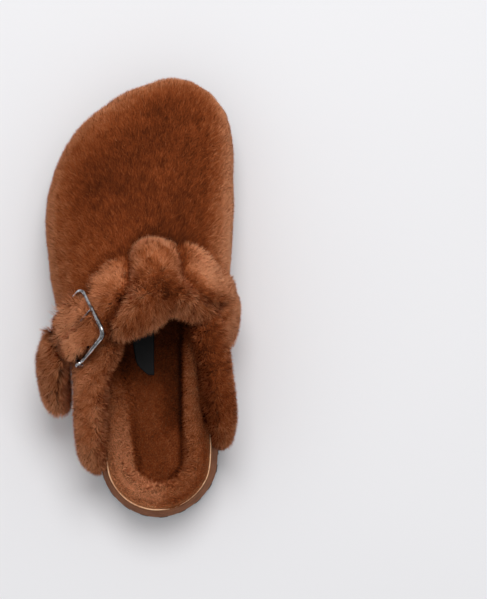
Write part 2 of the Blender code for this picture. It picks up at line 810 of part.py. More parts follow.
def make_buckle_frame(material):
    """A polished bar bent to a U, whose two ends carry eyes for the crossbar."""
    corner_steps = 5
    inside_eye = 0.5 * (EYE_RADIUS + CROSSBAR_RADIUS + GAP)
    path = [buckle_point(-BUCKLE_HALF_WIDTH, inside_eye, 0.0)]
    for side in (-1.0, 1.0):
        steps = range(corner_steps + 1)
        for step in (steps if side < 0 else reversed(steps)):
            turn = math.radians(90.0) * step / corner_steps
            across = side * (BUCKLE_HALF_WIDTH - FRAME_CORNER + FRAME_CORNER * math.cos(turn))
            up = BUCKLE_LENGTH - FRAME_CORNER + FRAME_CORNER * math.sin(turn)
            path.append(buckle_point(across, up, 0.0))
    path.append(buckle_point(BUCKLE_HALF_WIDTH, inside_eye, 0.0))
    bar = tube_solid(path, [FRAME_RADIUS] * len(path), 10, BUCKLE_OUT)
    frame = add_object("buckle_frame", bar, material, BUCKLE_CENTRE)
    for side, eye_name in ((-1.0, "front_eye"), (1.0, "rear_eye")):
        combine(frame, eye_name, make_frame_eye(side), "UNION")


def make_crossbar(material):
    ends = [buckle_point(side * (BUCKLE_HALF_WIDTH + EYE_HALF_LENGTH), 0.0, 0.0)
            for side in (-1, 1)]
    bar = tube_solid(ends, [CROSSBAR_RADIUS] * 2, 16, BUCKLE_OUT)
    add_object("buckle_crossbar", bar, material, BUCKLE_CENTRE)


def make_prong(material):
    """A rod hooked round the crossbar, whose tip lies on the end bar."""
    hook = CROSSBAR_RADIUS + GAP + PRONG_RADIUS
    path = []
    for degrees in stations(-40.0, -270.0, 11):
        turn = math.radians(degrees)
        path.append(buckle_point(0.0, hook * math.cos(turn), hook * math.sin(turn)))
    tip_out = FRAME_RADIUS + GAP + PRONG_RADIUS
    for up in stations(5.0, BUCKLE_LENGTH + 1.6, 5):
        path.append(buckle_point(0.0, up, mix(hook, tip_out, min(1.0, up / BUCKLE_LENGTH))))
    radii = [PRONG_RADIUS] * (len(path) - 1) + [0.6 * PRONG_RADIUS]
    prong = tube_solid(path, radii, 10, BUCKLE_ACROSS)
    add_object("buckle_prong", prong, material, BUCKLE_CENTRE)


def make_buckle_tab(material):
    """The leather tab that wraps the crossbar and runs down to the side of the sole."""
    inside = CROSSBAR_RADIUS + GAP
    shares = stations(1.0, -1.0, 3)
    rows = []
    for degrees in stations(0.0, 180.0, 9):
        turn = math.radians(degrees)
        rows.append([Skin(buckle_point(share * TAB_HALF_WIDTH, inside * math.cos(turn),
                                       inside * math.sin(turn)), 0.0, TAB_THICKNESS)
                     for share in shares])
    bar_side = buckle_point(0.0, -inside, -1.0)
    for step in (0.3, 0.65, 1.0):
        centre = bar_side.lerp(TAB_FOOT, step)
        rows.append([Skin(centre + BUCKLE_ACROSS * share * TAB_HALF_WIDTH, 0.0, TAB_THICKNESS)
                     for share in shares])
    piece = add_object("buckle_tab", sheet_solid(rows), material)
    notch = bmesh.new()
    add_box(notch, BUCKLE_CENTRE, (TAB_NOTCH_WIDTH, 9.0, 9.0), BUCKLE_AXES)
    cut(piece, "tab_notch", notch)


# ---------------------------------------------------------------- assembly

def main():
    remove_everything()
    pile = make_material("shearling_pile", (0.26, 0.09, 0.035), 0.95)
    lining = make_material("shearling_lining", (0.22, 0.075, 0.03), 0.95)
    suede = make_material("suede", (0.30, 0.14, 0.07), 0.9)
    skin = make_material("pale_skin", (0.75, 0.42, 0.25), 0.8)
    rubber = make_material("black_rubber", (0.02, 0.02, 0.02), 0.7)
    cork = make_material("cork", (0.42, 0.24, 0.12), 0.9)
    jute = make_material("jute", (0.50, 0.38, 0.24), 0.95)
    leather = make_material("brown_leather", (0.16, 0.06, 0.03), 0.6)
    chrome = make_material("polished_metal", (0.85, 0.85, 0.87), 0.08, 1.0)
    label = make_material("label_weave", (0.01, 0.01, 0.012), 0.8)

    rays = sole_rays()
    make_outsole(rays, rubber)
    make_lower_jute(rays, jute)
    make_cork(rays, cork)
    make_upper_jute(rays, jute)
    make_liner(rays, lining)
    make_side_wrap(rays, suede)
    make_rim_edge(rays, skin)
    make_label(label)
    make_vamp(pile, lining)
    make_quarter(1, "lateral", 104.0, pile, lining)
    make_quarter(-1, "medial", 90.0, pile, lining)
    make_throat_collar(pile)
    make_strap(pile, leather)
    make_strap_tail(pile)
    make_buckle_frame(chrome)
    make_crossbar(chrome)
    make_prong(chrome)
    make_buckle_tab(leather)


main()
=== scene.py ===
import math
from collections import namedtuple

import bmesh
import bpy
import numpy as np
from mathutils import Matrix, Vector
from mathutils.bvhtree import BVHTree
from mathutils.kdtree import KDTree


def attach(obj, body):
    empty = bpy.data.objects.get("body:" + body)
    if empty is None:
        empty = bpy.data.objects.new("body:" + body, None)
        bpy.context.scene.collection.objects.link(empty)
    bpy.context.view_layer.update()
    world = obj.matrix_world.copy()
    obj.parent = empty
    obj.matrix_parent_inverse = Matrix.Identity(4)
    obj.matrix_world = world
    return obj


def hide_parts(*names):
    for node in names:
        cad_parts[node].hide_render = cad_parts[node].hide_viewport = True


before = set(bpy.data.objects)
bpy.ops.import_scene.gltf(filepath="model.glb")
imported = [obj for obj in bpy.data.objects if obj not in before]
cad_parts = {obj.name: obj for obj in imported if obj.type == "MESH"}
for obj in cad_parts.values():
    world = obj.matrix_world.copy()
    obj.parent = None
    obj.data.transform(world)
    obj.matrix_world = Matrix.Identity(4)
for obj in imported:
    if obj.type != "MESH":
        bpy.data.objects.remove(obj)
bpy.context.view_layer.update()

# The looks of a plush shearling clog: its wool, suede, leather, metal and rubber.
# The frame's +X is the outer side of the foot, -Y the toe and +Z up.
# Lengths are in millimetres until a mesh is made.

MM = 0.001
UP = np.array((0.0, 0.0, 1.0))

# The sole's outline and heights, as the part has them.
RIM_LENGTH = 253.0
BALL_WIDTH = 97.0
HEEL_RADIUS = 32.5
HEEL_CENTRE = np.array((-12.5, 96.5))
HEEL_BACK_Y = HEEL_CENTRE[1] + HEEL_RADIUS
OUTSOLE_THICKNESS = 6.0
WALL_FLARE = 4.6            # how far the wall spreads from the rim to the rubber
WRAP_THICKNESS = 1.2
TOE_FAN_Y = -88.0
LINER_INSET = 1.8
LUG_COUNT = 56
GROOVE_SPACING = 12.0
GROOVE_DEPTH = 1.8
TREAD_START = 15.0          # from the arch, toward the toe and the heel
TREAD_END = 117.0
LABEL_LENGTH = 46.0
LABEL_INNER_X = -9.6
LABEL_LIFT = 2.6            # on the nap, above the hide

# The buckle's place and its three directions, as the part has them.
BUCKLE_CENTRE = np.array((40.8, 26.6, 60.0))
BUCKLE_ACROSS = np.array((-0.42455, 0.83446, 0.35135))
BUCKLE_DOWN = np.array((0.50911, 0.54093, -0.66948))
BUCKLE_OUT = np.array((0.74872, 0.10535, 0.65448))
BUCKLE_LENGTH = 31.4
BUCKLE_HALF_WIDTH = 17.0
BUCKLE_CORNER = 5.0
BAR_RADIUS = 1.25           # at its middle
BAR_TAPER = 0.2             # thicker at the rear side, thinner at the front
EYE_RADIUS = 2.3

# The wool of each piece: strands to a square millimetre, their length and width, how flat
# they lie, how strongly they gather in locks, and the seed of their random places.
Coat = namedtuple("Coat", "density length width lean clump seed")
COATS = {
    "vamp_wool": Coat(12.0, 6.4, 0.27, 0.70, 0.60, 10),
    "vamp_lining_wool": Coat(10.0, 4.5, 0.27, 0.60, 1.00, 20),
    "lateral_quarter_wool": Coat(17.0, 6.6, 0.32, 0.50, 1.10, 30),
    "medial_quarter_wool": Coat(17.0, 6.6, 0.32, 0.50, 1.10, 40),
    "throat_roll_wool": Coat(22.0, 7.8, 0.27, 0.85, 2.00, 50),
    "throat_lip_wool": Coat(11.0, 10.5, 0.34, 0.80, 3.20, 55),
    "instep_strap_wool": Coat(18.0, 6.6, 0.32, 0.60, 1.30, 60),
    "buckle_tuft_wool": Coat(12.0, 12.0, 0.32, 0.15, 1.50, 65),
    "strap_tail_wool": Coat(16.0, 8.0, 0.27, 0.55, 1.80, 70),
    "footbed_wool": Coat(17.0, 3.6, 0.30, 0.45, 0.35, 80),
}
MOST_STRANDS = 99000        # in one piece
ROOT_DEPTH = 0.8            # below the hide
STRAY = 0.27                # how far each strand leans a way of its own
LENGTH_SPREAD = (0.72, 1.12)
WIDTH_SPREAD = (0.7, 1.3)
BEND_SHARE = 0.52           # of a strand is below its bend
LOCK_WIDTH = 3.2            # of the small locks that the wool gathers in
SWIRL_WIDTH = 17.0          # of the broad turns in its lie
PATCH_WIDTH = 7.0           # of its lighter and darker patches
BROAD_PATCH_WIDTH = 45.0


# ---- numbers

def mix(start, end, amount):
    return start + (end - start) * amount


def smooth_step(value):
    value = np.clip(value, 0.0, 1.0)
    return value * value * (3.0 - 2.0 * value)


def normalised(vectors):
    return vectors / np.maximum(np.linalg.norm(vectors, axis=-1, keepdims=True), 1e-9)


def profile(knots, position):
    """A smooth curve through (position, value) knots, read at one place or at many."""
    xs = np.array([knot[0] for knot in knots], float)
    ys = np.array([knot[1] for knot in knots], float)
    slopes = np.gradient(ys, xs)
    position = np.clip(position, xs[0], xs[-1])
    index = np.clip(np.searchsorted(xs, position) - 1, 0, len(xs) - 2)
    span = xs[index + 1] - xs[index]
    t = (position - xs[index]) / span
    bend = slopes[index] * (1.0 - t) - slopes[index + 1] * t
    return mix(ys[index], ys[index + 1], smooth_step(t)) + span * t * (1.0 - t) * bend


def waves(points, wavelength, seed, count=14):
    """Smooth noise of about -1 to 1 from plane waves, and its slope."""
    rng = np.random.default_rng(seed)
    ways = normalised(rng.normal(size=(count, 3)))
    steps = ways * (math.tau / (wavelength * rng.uniform(0.7, 1.5, count)))[:, None]
    phases = rng.uniform(0.0, math.tau, count)
    angles = points @ steps.T + phases
    size = math.sqrt(2.0 / count)
    value = np.sin(angles).sum(axis=1) * size * 0.6
    slope = np.cos(angles) @ steps * size * 0.6
    return value, slope


# ---- the outline of the sole

def smooth_loop(knots, steps):
    """A smooth closed curve through knots in plan."""
    curve = []
    for index in range(len(knots)):
        a, b, c, d = (knots[(index + shift) % len(knots)] for shift in (-1, 0, 1, 2))
        for t in np.arange(steps) / steps:
            curve.append(0.5 * (2.0 * b + (c - a) * t + (2.0 * a - 5.0 * b + 4.0 * c - d) * t * t
                                + (3.0 * b - a - 3.0 * c + d) * t ** 3))
    return np.array(curve)


def rim_outline():
    """The rim of the footbed as a closed smooth curve, from shares of its width and length."""
    shape = (
        (0.240, 0.247), (0.330, 0.388), (0.435, 0.525), (0.487, 0.655), (0.488, 0.749),
        (0.400, 0.847), (0.225, 0.925), (0.000, 0.980), (-0.200, 1.000), (-0.372, 0.973),
        (-0.475, 0.902), (-0.510, 0.788), (-0.500, 0.647), (-0.469, 0.490), (-0.459, 0.310),
    )
    knots = []
    for degrees in (150, 120, 90, 60, 30, 0):
        turn = math.radians(degrees)
        knots.append(HEEL_CENTRE + HEEL_RADIUS * np.array((math.cos(turn), math.sin(turn))))
    for across, along in shape:
        knots.append(np.array((across * BALL_WIDTH, HEEL_BACK_Y - along * RIM_LENGTH)))
    knots.append(HEEL_CENTRE - np.array((HEEL_RADIUS, 0.0)))
    return smooth_loop(knots, 20)


def even_loop(curve, count):
    """A closed curve's points, spaced evenly."""
    closed = np.vstack((curve, curve[:1]))
    run = np.concatenate(((0.0,), np.cumsum(np.linalg.norm(np.diff(closed, axis=0), axis=1))))
    places = np.arange(count) * run[-1] / count
    return np.stack([np.interp(places, run, closed[:, axis]) for axis in range(2)], axis=1)


def loop_normals(loop):
    """The outward way at each point of a loop that runs clockwise seen from above."""
    way = np.roll(loop, -1, axis=0) - np.roll(loop, 1, axis=0)
    return normalised(np.stack((-way[:, 1], way[:, 0]), axis=1))


RIM = even_loop(rim_outline(), 300)
RIM_OUT = loop_normals(RIM)


def rim_across(y):
    """The rim's inner-side and outer-side X at each distance along the foot."""
    toe = np.argmin(RIM[:, 1])
    heel = np.argmax(RIM[:, 1])
    order = np.roll(np.arange(len(RIM)), -heel)
    split = int(np.where(order == toe)[0][0])
    outer = RIM[order[:split + 1]]
    inner = RIM[np.append(order[split:], order[0])]
    return (np.interp(y, inner[:, 1], inner[:, 0]),
            np.interp(-y, -outer[:, 1], outer[:, 0]))


def spine_x(y):
    inner, outer = rim_across(y)
    return 0.5 * (inner + outer)


def floor_height(y):
    return 8.0 * np.maximum(0.0, (-52.0 - y) / 80.0) ** 2


def rim_height(y):
    return profile(((-130, 30.0), (-60, 25.5), (20, 31.0), (130, 33.0)), y)


def seat_height(y):
    return profile(((-125, 21.0), (-60, 16.5), (20, 22.0), (95, 17.0)), y)


def ridge_height(y):
    return profile(((-88, 51.0), (-45, 60.0), (0, 71.0), (45, 80.0)), y)


def dome_height(x, y):
    """The skin of the closed upper over a place in plan."""
    inner, outer = rim_across(y)
    share = np.abs(x - 0.5 * (inner + outer)) / (0.5 * (outer - inner) + 1.8)
    flat = np.clip(share, 0.0, 0.999) ** (1.0 / 0.93)
    shoulder = rim_height(y) + 4.0
    return mix(shoulder, ridge_height(y), (1.0 - flat * flat) ** 0.465)


def wall_flare(x):
    """How far the wall spreads toward the floor: less on the inner side of the foot."""
    return WALL_FLARE - 1.2 * smooth_step((-10.0 - x) / 22.0)


def wall_offset(place, z):
    foot = floor_height(place[:, 1]) + OUTSOLE_THICKNESS
    top = rim_height(place[:, 1])
    return wall_flare(place[:, 0]) * (top - z) / (top - foot)


# ---- meshes

def mesh_object(name, points, faces, material, smooth=True):
    """An object in the scene from points in millimetres and equal-sided faces."""
    faces = np.asarray(faces, np.int32)
    sides = faces.shape[1]
    mesh = bpy.data.meshes.new(name)
    mesh.vertices.add(len(points))
    mesh.vertices.foreach_set("co", (np.asarray(points) * MM).astype(np.float32).ravel())
    mesh.loops.add(faces.size)
    mesh.loops.foreach_set("vertex_index", faces.ravel())
    mesh.polygons.add(len(faces))
    mesh.polygons.foreach_set("loop_start", np.arange(0, faces.size, sides, dtype=np.int32))
    mesh.update(calc_edges=True)
    mesh.polygons.foreach_set("use_smooth", np.full(len(faces), smooth))
    mesh.materials.append(material)
    piece = bpy.data.objects.new(name, mesh)
    bpy.context.scene.collection.objects.link(piece)
    return piece


def dress(piece, body="slipper"):
    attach(piece, body)
    return piece


def triangles_of(mesh):
    """A mesh's points in millimetres, its triangles and its point normals."""
    mesh.calc_loop_triangles()
    points = np.empty(len(mesh.vertices) * 3, np.float32)
    mesh.vertices.foreach_get("co", points)
    normals = np.empty(len(mesh.vertices) * 3, np.float32)
    mesh.vertices.foreach_get("normal", normals)
    triangles = np.empty(len(mesh.loop_triangles) * 3, np.int32)
    mesh.loop_triangles.foreach_get("vertices", triangles)
    return (points.reshape(-1, 3).astype(float) / MM, triangles.reshape(-1, 3),
            normals.reshape(-1, 3).astype(float))


def softened(mesh, voxel, rounds):
    """The points, triangles and normals of a mesh fused, rounded and evened out."""
    work = bpy.data.objects.new("work", mesh)
    bpy.context.scene.collection.objects.link(work)
    even = work.modifiers.new("even", "REMESH")
    even.mode = "VOXEL"
    even.voxel_size = voxel * MM
    soften = work.modifiers.new("soften", "SMOOTH")
    soften.iterations = rounds
    rounded = bpy.data.meshes.new_from_object(work.evaluated_get(
        bpy.context.evaluated_depsgraph_get()))
    bpy.data.objects.remove(work)
    result = triangles_of(rounded)
    bpy.data.meshes.remove(rounded)
    return result


def soft_copy(nodes, name, material, voxel, rounds, body="slipper",
              swell=0.0, extra=None, shape=None):
    """A rounded copy of one CAD solid, or of several joined into one.

    swell grows each solid first, so that neighbours meet. extra is one more closed mesh,
    joined in. shape(points, normals) gives the rounded copy's points new places.
    """
    joined = bmesh.new()
    for node in nodes:
        joined.from_mesh(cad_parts[node].data)
    bmesh.ops.remove_doubles(joined, verts=joined.verts, dist=0.00002)
    joined.normal_update()
    for vertex in joined.verts:
        vertex.co += vertex.normal * swell * MM
    if extra:
        joined.from_mesh(extra.data)
        bpy.data.objects.remove(extra)
    mesh = bpy.data.meshes.new("work")
    joined.to_mesh(mesh)
    joined.free()
    points, triangles, normals = softened(mesh, voxel, rounds)
    if shape:
        points = shape(points, normals)
    piece = mesh_object(name, points, triangles, material)
    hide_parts(*nodes)
    return dress(piece, body)


def grid_quads(rows, columns):
    """The quads between the points of a grid, numbered row by row."""
    here = np.arange(rows * columns).reshape(rows, columns)
    return np.stack((here[:-1, :-1], here[:-1, 1:], here[1:, 1:], here[1:, :-1]),
                    axis=-1).reshape(-1, 4)


def loop_rows(rows, closed=False):
    """Quads between closed loops of points, the last joined to the first when closed."""
    count = len(rows[0])
    points = np.vstack(rows)
    faces = []
    pairs = [(i, i + 1) for i in range(len(rows) - 1)]
    if closed:
        pairs.append((len(rows) - 1, 0))
    here = np.arange(count)
    after = (here + 1) % count
    for low, high in pairs:
        faces.append(np.stack((low * count + here, low * count + after,
                               high * count + after, high * count + here), axis=1))
    return points, np.vstack(faces)


def tube(path, radius, sides=20, first=None):
    """A round bar along a path, closed at its ends by points."""
    path = np.asarray(path, float)
    ways = normalised(np.gradient(path, axis=0))
    side = np.array(first) if first is not None else np.cross(ways[0], (0.3, 0.5, 0.8))
    rows = []
    turns = math.tau * np.arange(sides) / sides
    radii = np.broadcast_to(radius, len(path))
    for point, way, size in zip(path, ways, radii):
        side = normalised(side - way * side.dot(way))
        other = np.cross(way, side)
        ring = np.outer(np.cos(turns), side) + np.outer(np.sin(turns), other)
        rows.append(point + ring * size)
    rows = ([np.repeat(path[:1], sides, axis=0)] + rows + [np.repeat(path[-1:], sides, axis=0)])
    return loop_rows(rows)


def face_outward(piece):
    """Welds what meets and turns every face outward."""
    mesh_data = bmesh.new()
    mesh_data.from_mesh(piece.data)
    bmesh.ops.remove_doubles(mesh_data, verts=mesh_data.verts, dist=0.00001)
    bmesh.ops.recalc_face_normals(mesh_data, faces=mesh_data.faces)
    mesh_data.to_mesh(piece.data)
    mesh_data.free()
    return piece


# ---- materials

def srgb(red, green, blue):
    """A linear colour from 0-255 display values."""
    linear = []
    for value in (red, green, blue):
        share = value / 255.0
        linear.append(share / 12.92 if share <= 0.04045 else ((share + 0.055) / 1.055) ** 2.4)
    return (*linear, 1.0)


class Look:
    """A material under construction: its nodes, links and shader."""

    def __init__(self, name, roughness, metallic=0.0, **constants):
        self.material = bpy.data.materials.new(name)
        self.material.use_nodes = True
        tree = self.material.node_tree
        self.nodes = tree.nodes
        self.links = tree.links
        self.shader = tree.nodes["Principled BSDF"]
        self.shader.inputs["Roughness"].default_value = roughness
        self.shader.inputs["Metallic"].default_value = metallic
        for socket, value in constants.items():
            self.shader.inputs[socket.replace("_", " ")].default_value = value

    def node(self, kind, inputs=None, **settings):
        made = self.nodes.new("ShaderNode" + kind)
        for name, value in settings.items():
            setattr(made, name, value)
        for name, value in (inputs or {}).items():
            self.feed(made.inputs[name], value)
        return made

    def feed(self, socket, value):
        """Links a node's output to a socket, or sets a plain value on it."""
        if isinstance(value, bpy.types.NodeSocket):
            self.links.new(value, socket)
        else:
            socket.default_value = value

    def place(self):
        return self.node("TexCoord").outputs["Object"]

    def noise(self, scale, detail=3.0, roughness=0.55):
        made = self.node("TexNoise", {"Vector": self.place(), "Scale": scale,
                                      "Detail": detail, "Roughness": roughness})
        return made.outputs["Fac"]

    def ribs(self, scale, distortion, direction):
        """Fine parallel ridges across X or Y."""
        made = self.node("TexWave", {"Vector": self.place(), "Scale": scale,
                                     "Distortion": distortion}, bands_direction=direction)
        return made.outputs["Fac"]

    def ramp(self, source, *stops):
        made = self.node("ValToRGB", {"Fac": source})
        elements = made.color_ramp.elements
        elements[0].position, elements[0].color = stops[0]
        elements[1].position, elements[1].color = stops[-1]
        for position, colour in stops[1:-1]:
            elements.new(position).color = colour
        return made.outputs["Color"]

    def maths(self, operation, first, second):
        made = self.node("Math", operation=operation)
        for socket, value in zip(made.inputs, (first, second)):
            self.feed(socket, value)
        return made.outputs["Value"]

    def colours_multiplied(self, first, second):
        made = self.node("Mix", data_type="RGBA", blend_type="MULTIPLY")
        for socket, value in zip((0, 6, 7), (1.0, first, second)):
            self.feed(made.inputs[socket], value)
        return made.outputs[2]

    def colour(self, source):
        self.links.new(source, self.shader.inputs["Base Color"])

    def roughness(self, source, low, high):
        made = self.node("MapRange", {"Value": source, "To Min": low, "To Max": high})
        self.links.new(made.outputs["Result"], self.shader.inputs["Roughness"])

    def bump(self, height, strength, distance):
        made = self.node("Bump", {"Height": height, "Strength": strength,
                                  "Distance": distance})
        self.links.new(made.outputs["Normal"], self.shader.inputs["Normal"])


def seen(red, green, blue, gain=2.9):
    """The colour of wool that looks this dark once its own shadows fall on it."""
    return tuple(min(1.0, value * gain) for value in srgb(red, green, blue)[:3]) + (1.0,)


def wool_look():
    """Dyed wool: its own tone to each strand, with painted light and shade in it, darkened at the
    roots by painted shade and light at the tips, partly a painted highlight.
    """
    look = Look("wool", 0.85, Specular_IOR_Level=0.06)
    along = look.node("Attribute", attribute_name="along").outputs["Fac"]
    tone = look.node("Attribute", attribute_name="tone").outputs["Fac"]
    # The tone ramp gives the wool's own colour together with its painted light and shade.
    dye_and_painted_light = look.ramp(tone, (0.0, seen(34, 12, 4)), (0.2, seen(64, 27, 9)),
                    (0.35, seen(92, 41, 16)), (0.5, seen(110, 57, 29)),
                    (0.7, seen(136, 85, 56)), (0.85, seen(150, 99, 69)),
                    (1.0, seen(159, 110, 81)))
    # Darker toward the roots: painted shade deep in the wool; the lighter tips are partly a painted
    # highlight.
    depth = look.ramp(along, (0.0, (0.42, 0.36, 0.31, 1.0)), (0.5, (0.90, 0.88, 0.85, 1.0)),
                      (1.0, (1.15, 1.17, 1.20, 1.0)))
    look.colour(look.colours_multiplied(dye_and_painted_light, depth))
    return look.material


def grained_look(name, roughness, scale, detail, dark, light, relief):
    """A matt surface with a fine grain of two colours."""
    look = Look(name, roughness)
    grain = look.noise(scale, detail)
    look.colour(look.ramp(grain, (0.3, dark), (0.7, light)))
    look.bump(grain, 0.4, relief)
    return look.material


def hide_look(name, colour):
    """The hide under the wool."""
    dark = tuple(0.6 * value for value in colour[:3]) + (1.0,)
    return grained_look(name, 0.9, 900.0, 4.0, dark, colour, 0.0003)


def suede_look():
    look = Look("suede", 0.92, Sheen_Weight=0.1, Sheen_Roughness=0.4,
                Sheen_Tint=srgb(255, 200, 160), Specular_IOR_Level=0.1)
    nap = look.noise(2600.0, 3.0, 0.6)
    brushed = look.noise(130.0, 4.0, 0.6)
    mixed = look.maths("ADD", look.maths("MULTIPLY", nap, 0.5),
                       look.maths("MULTIPLY", brushed, 0.5))
    look.colour(look.ramp(mixed, (0.32, srgb(92, 51, 30)), (0.5, srgb(126, 76, 50)),
                          (0.68, srgb(156, 102, 70))))
    look.bump(nap, 0.35, 0.0003)
    return look.material


def skin_edge_look():
    return grained_look("skin_edge", 0.75, 1400.0, 3.0, srgb(226, 172, 128),
                        srgb(250, 206, 164), 0.0002)


def rubber_look():
    look = Look("black_rubber", 0.62, Specular_IOR_Level=0.4)
    grain = look.noise(1800.0, 2.0)
    dust = look.noise(90.0, 4.0)
    look.colour(look.ramp(dust, (0.35, srgb(24, 23, 22)), (0.75, srgb(46, 44, 42))))
    look.roughness(dust, 0.5, 0.78)
    look.bump(grain, 0.3, 0.0002)
    return look.material


def cork_look():
    look = Look("cork", 0.9)
    cells = look.node("TexVoronoi", {"Vector": look.place(), "Scale": 420.0})
    speck = look.node("SeparateColor", {"Color": cells.outputs["Color"]}).outputs[0]
    look.colour(look.ramp(speck, (0.0, srgb(92, 58, 34)), (0.2, srgb(158, 112, 70)),
                          (0.8, srgb(188, 142, 94)), (1.0, srgb(206, 164, 116))))
    look.bump(cells.outputs["Distance"], 0.4, 0.0004)
    return look.material


def jute_look():
    look = Look("jute", 0.95)
    weave = look.maths("MULTIPLY", look.ribs(160.0, 1.0, "X"), look.ribs(160.0, 1.0, "Y"))
    look.colour(look.ramp(weave, (0.0, srgb(120, 92, 58)), (0.6, srgb(196, 166, 118))))
    look.bump(weave, 0.6, 0.0004)
    return look.material


def leather_look():
    look = Look("brown_leather", 0.55, Specular_IOR_Level=0.45)
    pebbles = look.node("TexVoronoi", {"Vector": look.place(), "Scale": 1500.0},
                        feature="DISTANCE_TO_EDGE").outputs["Distance"]
    worn = look.noise(160.0, 4.0)
    look.colour(look.ramp(worn, (0.3, srgb(72, 38, 22)), (0.7, srgb(112, 66, 42))))
    look.roughness(worn, 0.45, 0.65)
    look.bump(pebbles, 0.35, 0.0002)
    return look.material


def metal_look():
    look = Look("polished_metal", 0.12, 1.0)
    # The noise's dark and bright streaks in the metal's colour are painted reflections; it also
    # varies the roughness.
    rub_and_painted_reflection = look.noise(260.0, 5.0, 0.7)
    look.colour(look.ramp(rub_and_painted_reflection, (0.38, srgb(88, 88, 91)), (0.62, srgb(214, 214, 217))))
    look.roughness(rub_and_painted_reflection, 0.07, 0.17)
    return look.material


def label_look():
    """Black satin weave: fine ribs across the label and a soft shine."""
    look = Look("label_weave", 0.6, Specular_IOR_Level=0.25)
    weave = look.maths("MULTIPLY", look.ribs(560.0, 0.4, "Y"), look.ribs(900.0, 0.6, "X"))
    look.colour(look.ramp(weave, (0.0, srgb(6, 6, 7)), (0.7, srgb(26, 26, 28))))
    look.bump(weave, 0.5, 0.0001)
    return look.material


# ---- wool

def scatter(piece, density, weight, rng):
    """Places on a mesh, so many to a square millimetre times weight, with their normals."""
    points, triangles, normals = triangles_of(piece.data)
    corners = points[triangles]
    square = np.cross(corners[:, 1] - corners[:, 0], corners[:, 2] - corners[:, 0])
    area = 0.5 * np.linalg.norm(square, axis=1)
    share = area * weight(corners.mean(axis=1), normalised(square))
    run = np.cumsum(share)
    count = int(run[-1] * density)
    picked = np.minimum(np.searchsorted(run, rng.random(count) * run[-1]), len(run) - 1)
    first = np.sqrt(rng.random(count))
    second = rng.random(count)
    shares = np.stack((1.0 - first, first * (1.0 - second), first * second), axis=1)
    place = (corners[picked] * shares[:, :, None]).sum(axis=1)
    normal = normalised((normals[triangles[picked]] * shares[:, :, None]).sum(axis=1))
    return place, normal


def everywhere(points, normals):
    return np.ones(len(points))


def flat_part(ways, normals):
    """The part of each way that runs along the surface."""
    return ways - normals * (ways * normals).sum(axis=1, keepdims=True)


def grow_wool(name, piece, comb, tone, looks, body="slipper",
              weight=everywhere, trim=None):
    """Strands of wool rooted on a piece. Each is a bent blade of two triangles.

    comb(points, normals) gives the way the strands lie, and tone(points, normals) their
    colour, from 0, darkest, to 1. trim(points) changes their length, and weight(points,
    normals) says where they grow.
    """
    coat = COATS[name]
    rng = np.random.default_rng(coat.seed)
    place, normal = scatter(piece, coat.density, weight, rng)
    count = len(place)
    lie = flat_part(comb(place, normal), normal)
    lie = lie / np.maximum(np.linalg.norm(lie, axis=1, keepdims=True), 1.0)
    lock, lock_slope = waves(place, LOCK_WIDTH, coat.seed + 1)
    swirl, swirl_slope = waves(place, SWIRL_WIDTH, coat.seed + 2)
    drift = (lie * coat.lean - lock_slope * 0.15 * coat.clump - swirl_slope * 0.4 * coat.clump
             + rng.normal(size=place.shape) * STRAY)
    drift = flat_part(drift, normal)
    size = coat.length * rng.uniform(*LENGTH_SPREAD, count) * (1.0 + 0.05 * lock + 0.07 * swirl)
    if trim:
        size = size * trim(place)
    start_way = normalised(normal + drift * 0.45)
    end_way = normalised(normal * 0.75 + drift * 1.15)
    root = place - normal * ROOT_DEPTH
    middle = root + start_way * (size * BEND_SHARE)[:, None]
    tip = middle + end_way * (size * (1.0 - BEND_SHARE))[:, None]
    across = normalised(np.cross(start_way + end_way, rng.normal(size=place.shape)))
    facing = np.cross(across, end_way + start_way)
    flip = np.sign((facing * (normal + drift * 0.3)).sum(axis=1, keepdims=True))
    across = across * flip * (coat.width * 0.5 * rng.uniform(*WIDTH_SPREAD, count))[:, None]
    strands = np.stack((root, middle - across, middle + across, tip), axis=1)
    shading = np.repeat(normalised(normal + drift * 0.55)[:, None], 4, axis=1)
    patchy = 0.06 * min(coat.clump, 2.0) * (waves(place, PATCH_WIDTH, 78)[0] + lock)
    tint = (tone(place, normal) + 0.05 * waves(place, BROAD_PATCH_WIDTH, 77)[0] + patchy
            + 0.10 * rng.normal(size=count))
    tint = np.repeat(np.clip(tint, 0.0, 1.0)[:, None], 4, axis=1)
    for index in range(0, count, MOST_STRANDS):
        part = slice(index, index + MOST_STRANDS)
        wool = strand_object(f"{name}_{index // MOST_STRANDS + 1}", strands[part],
                             shading[part], tint[part], looks["wool"])
        dress(wool, body)


def strand_object(name, strands, shading, tint, material):
    """One mesh of blades, each with a root, two middle points and a tip."""
    count = len(strands)
    first = np.arange(count)[:, None] * 4
    faces = np.concatenate((first + (0, 2, 1), first + (1, 2, 3)), axis=0)
    wool = mesh_object(name, strands.reshape(-1, 3), faces, material)
    wool.data.normals_split_custom_set_from_vertices(shading.reshape(-1, 3))
    along = wool.data.attributes.new("along", "FLOAT", "POINT")
    along.data.foreach_set("value", np.tile((0.0, 0.5, 0.5, 1.0), count).astype(np.float32))
    shade = wool.data.attributes.new("tone", "FLOAT", "POINT")
    shade.data.foreach_set("value", tint.astype(np.float32).ravel())
    return wool


def solid_piece(name, points, faces, material, node, body="slipper"):
    """A closed piece that stands for one CAD node."""
    piece = face_outward(mesh_object(name, points, faces, material))
    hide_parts(node)
    return dress(piece, body)


def away_from(centre, stretch=(1.0, 1.0, 1.0), down=0.0, soft=22.0):
    """A comb that lies away from a centre, upright at the centre itself."""
    def comb(points, normals):
        way = (points - np.array(centre)) * np.array(stretch)
        strength = smooth_step(np.linalg.norm(way, axis=1) / soft)[:, None]
        return normalised(way) * strength - UP * down
    return comb


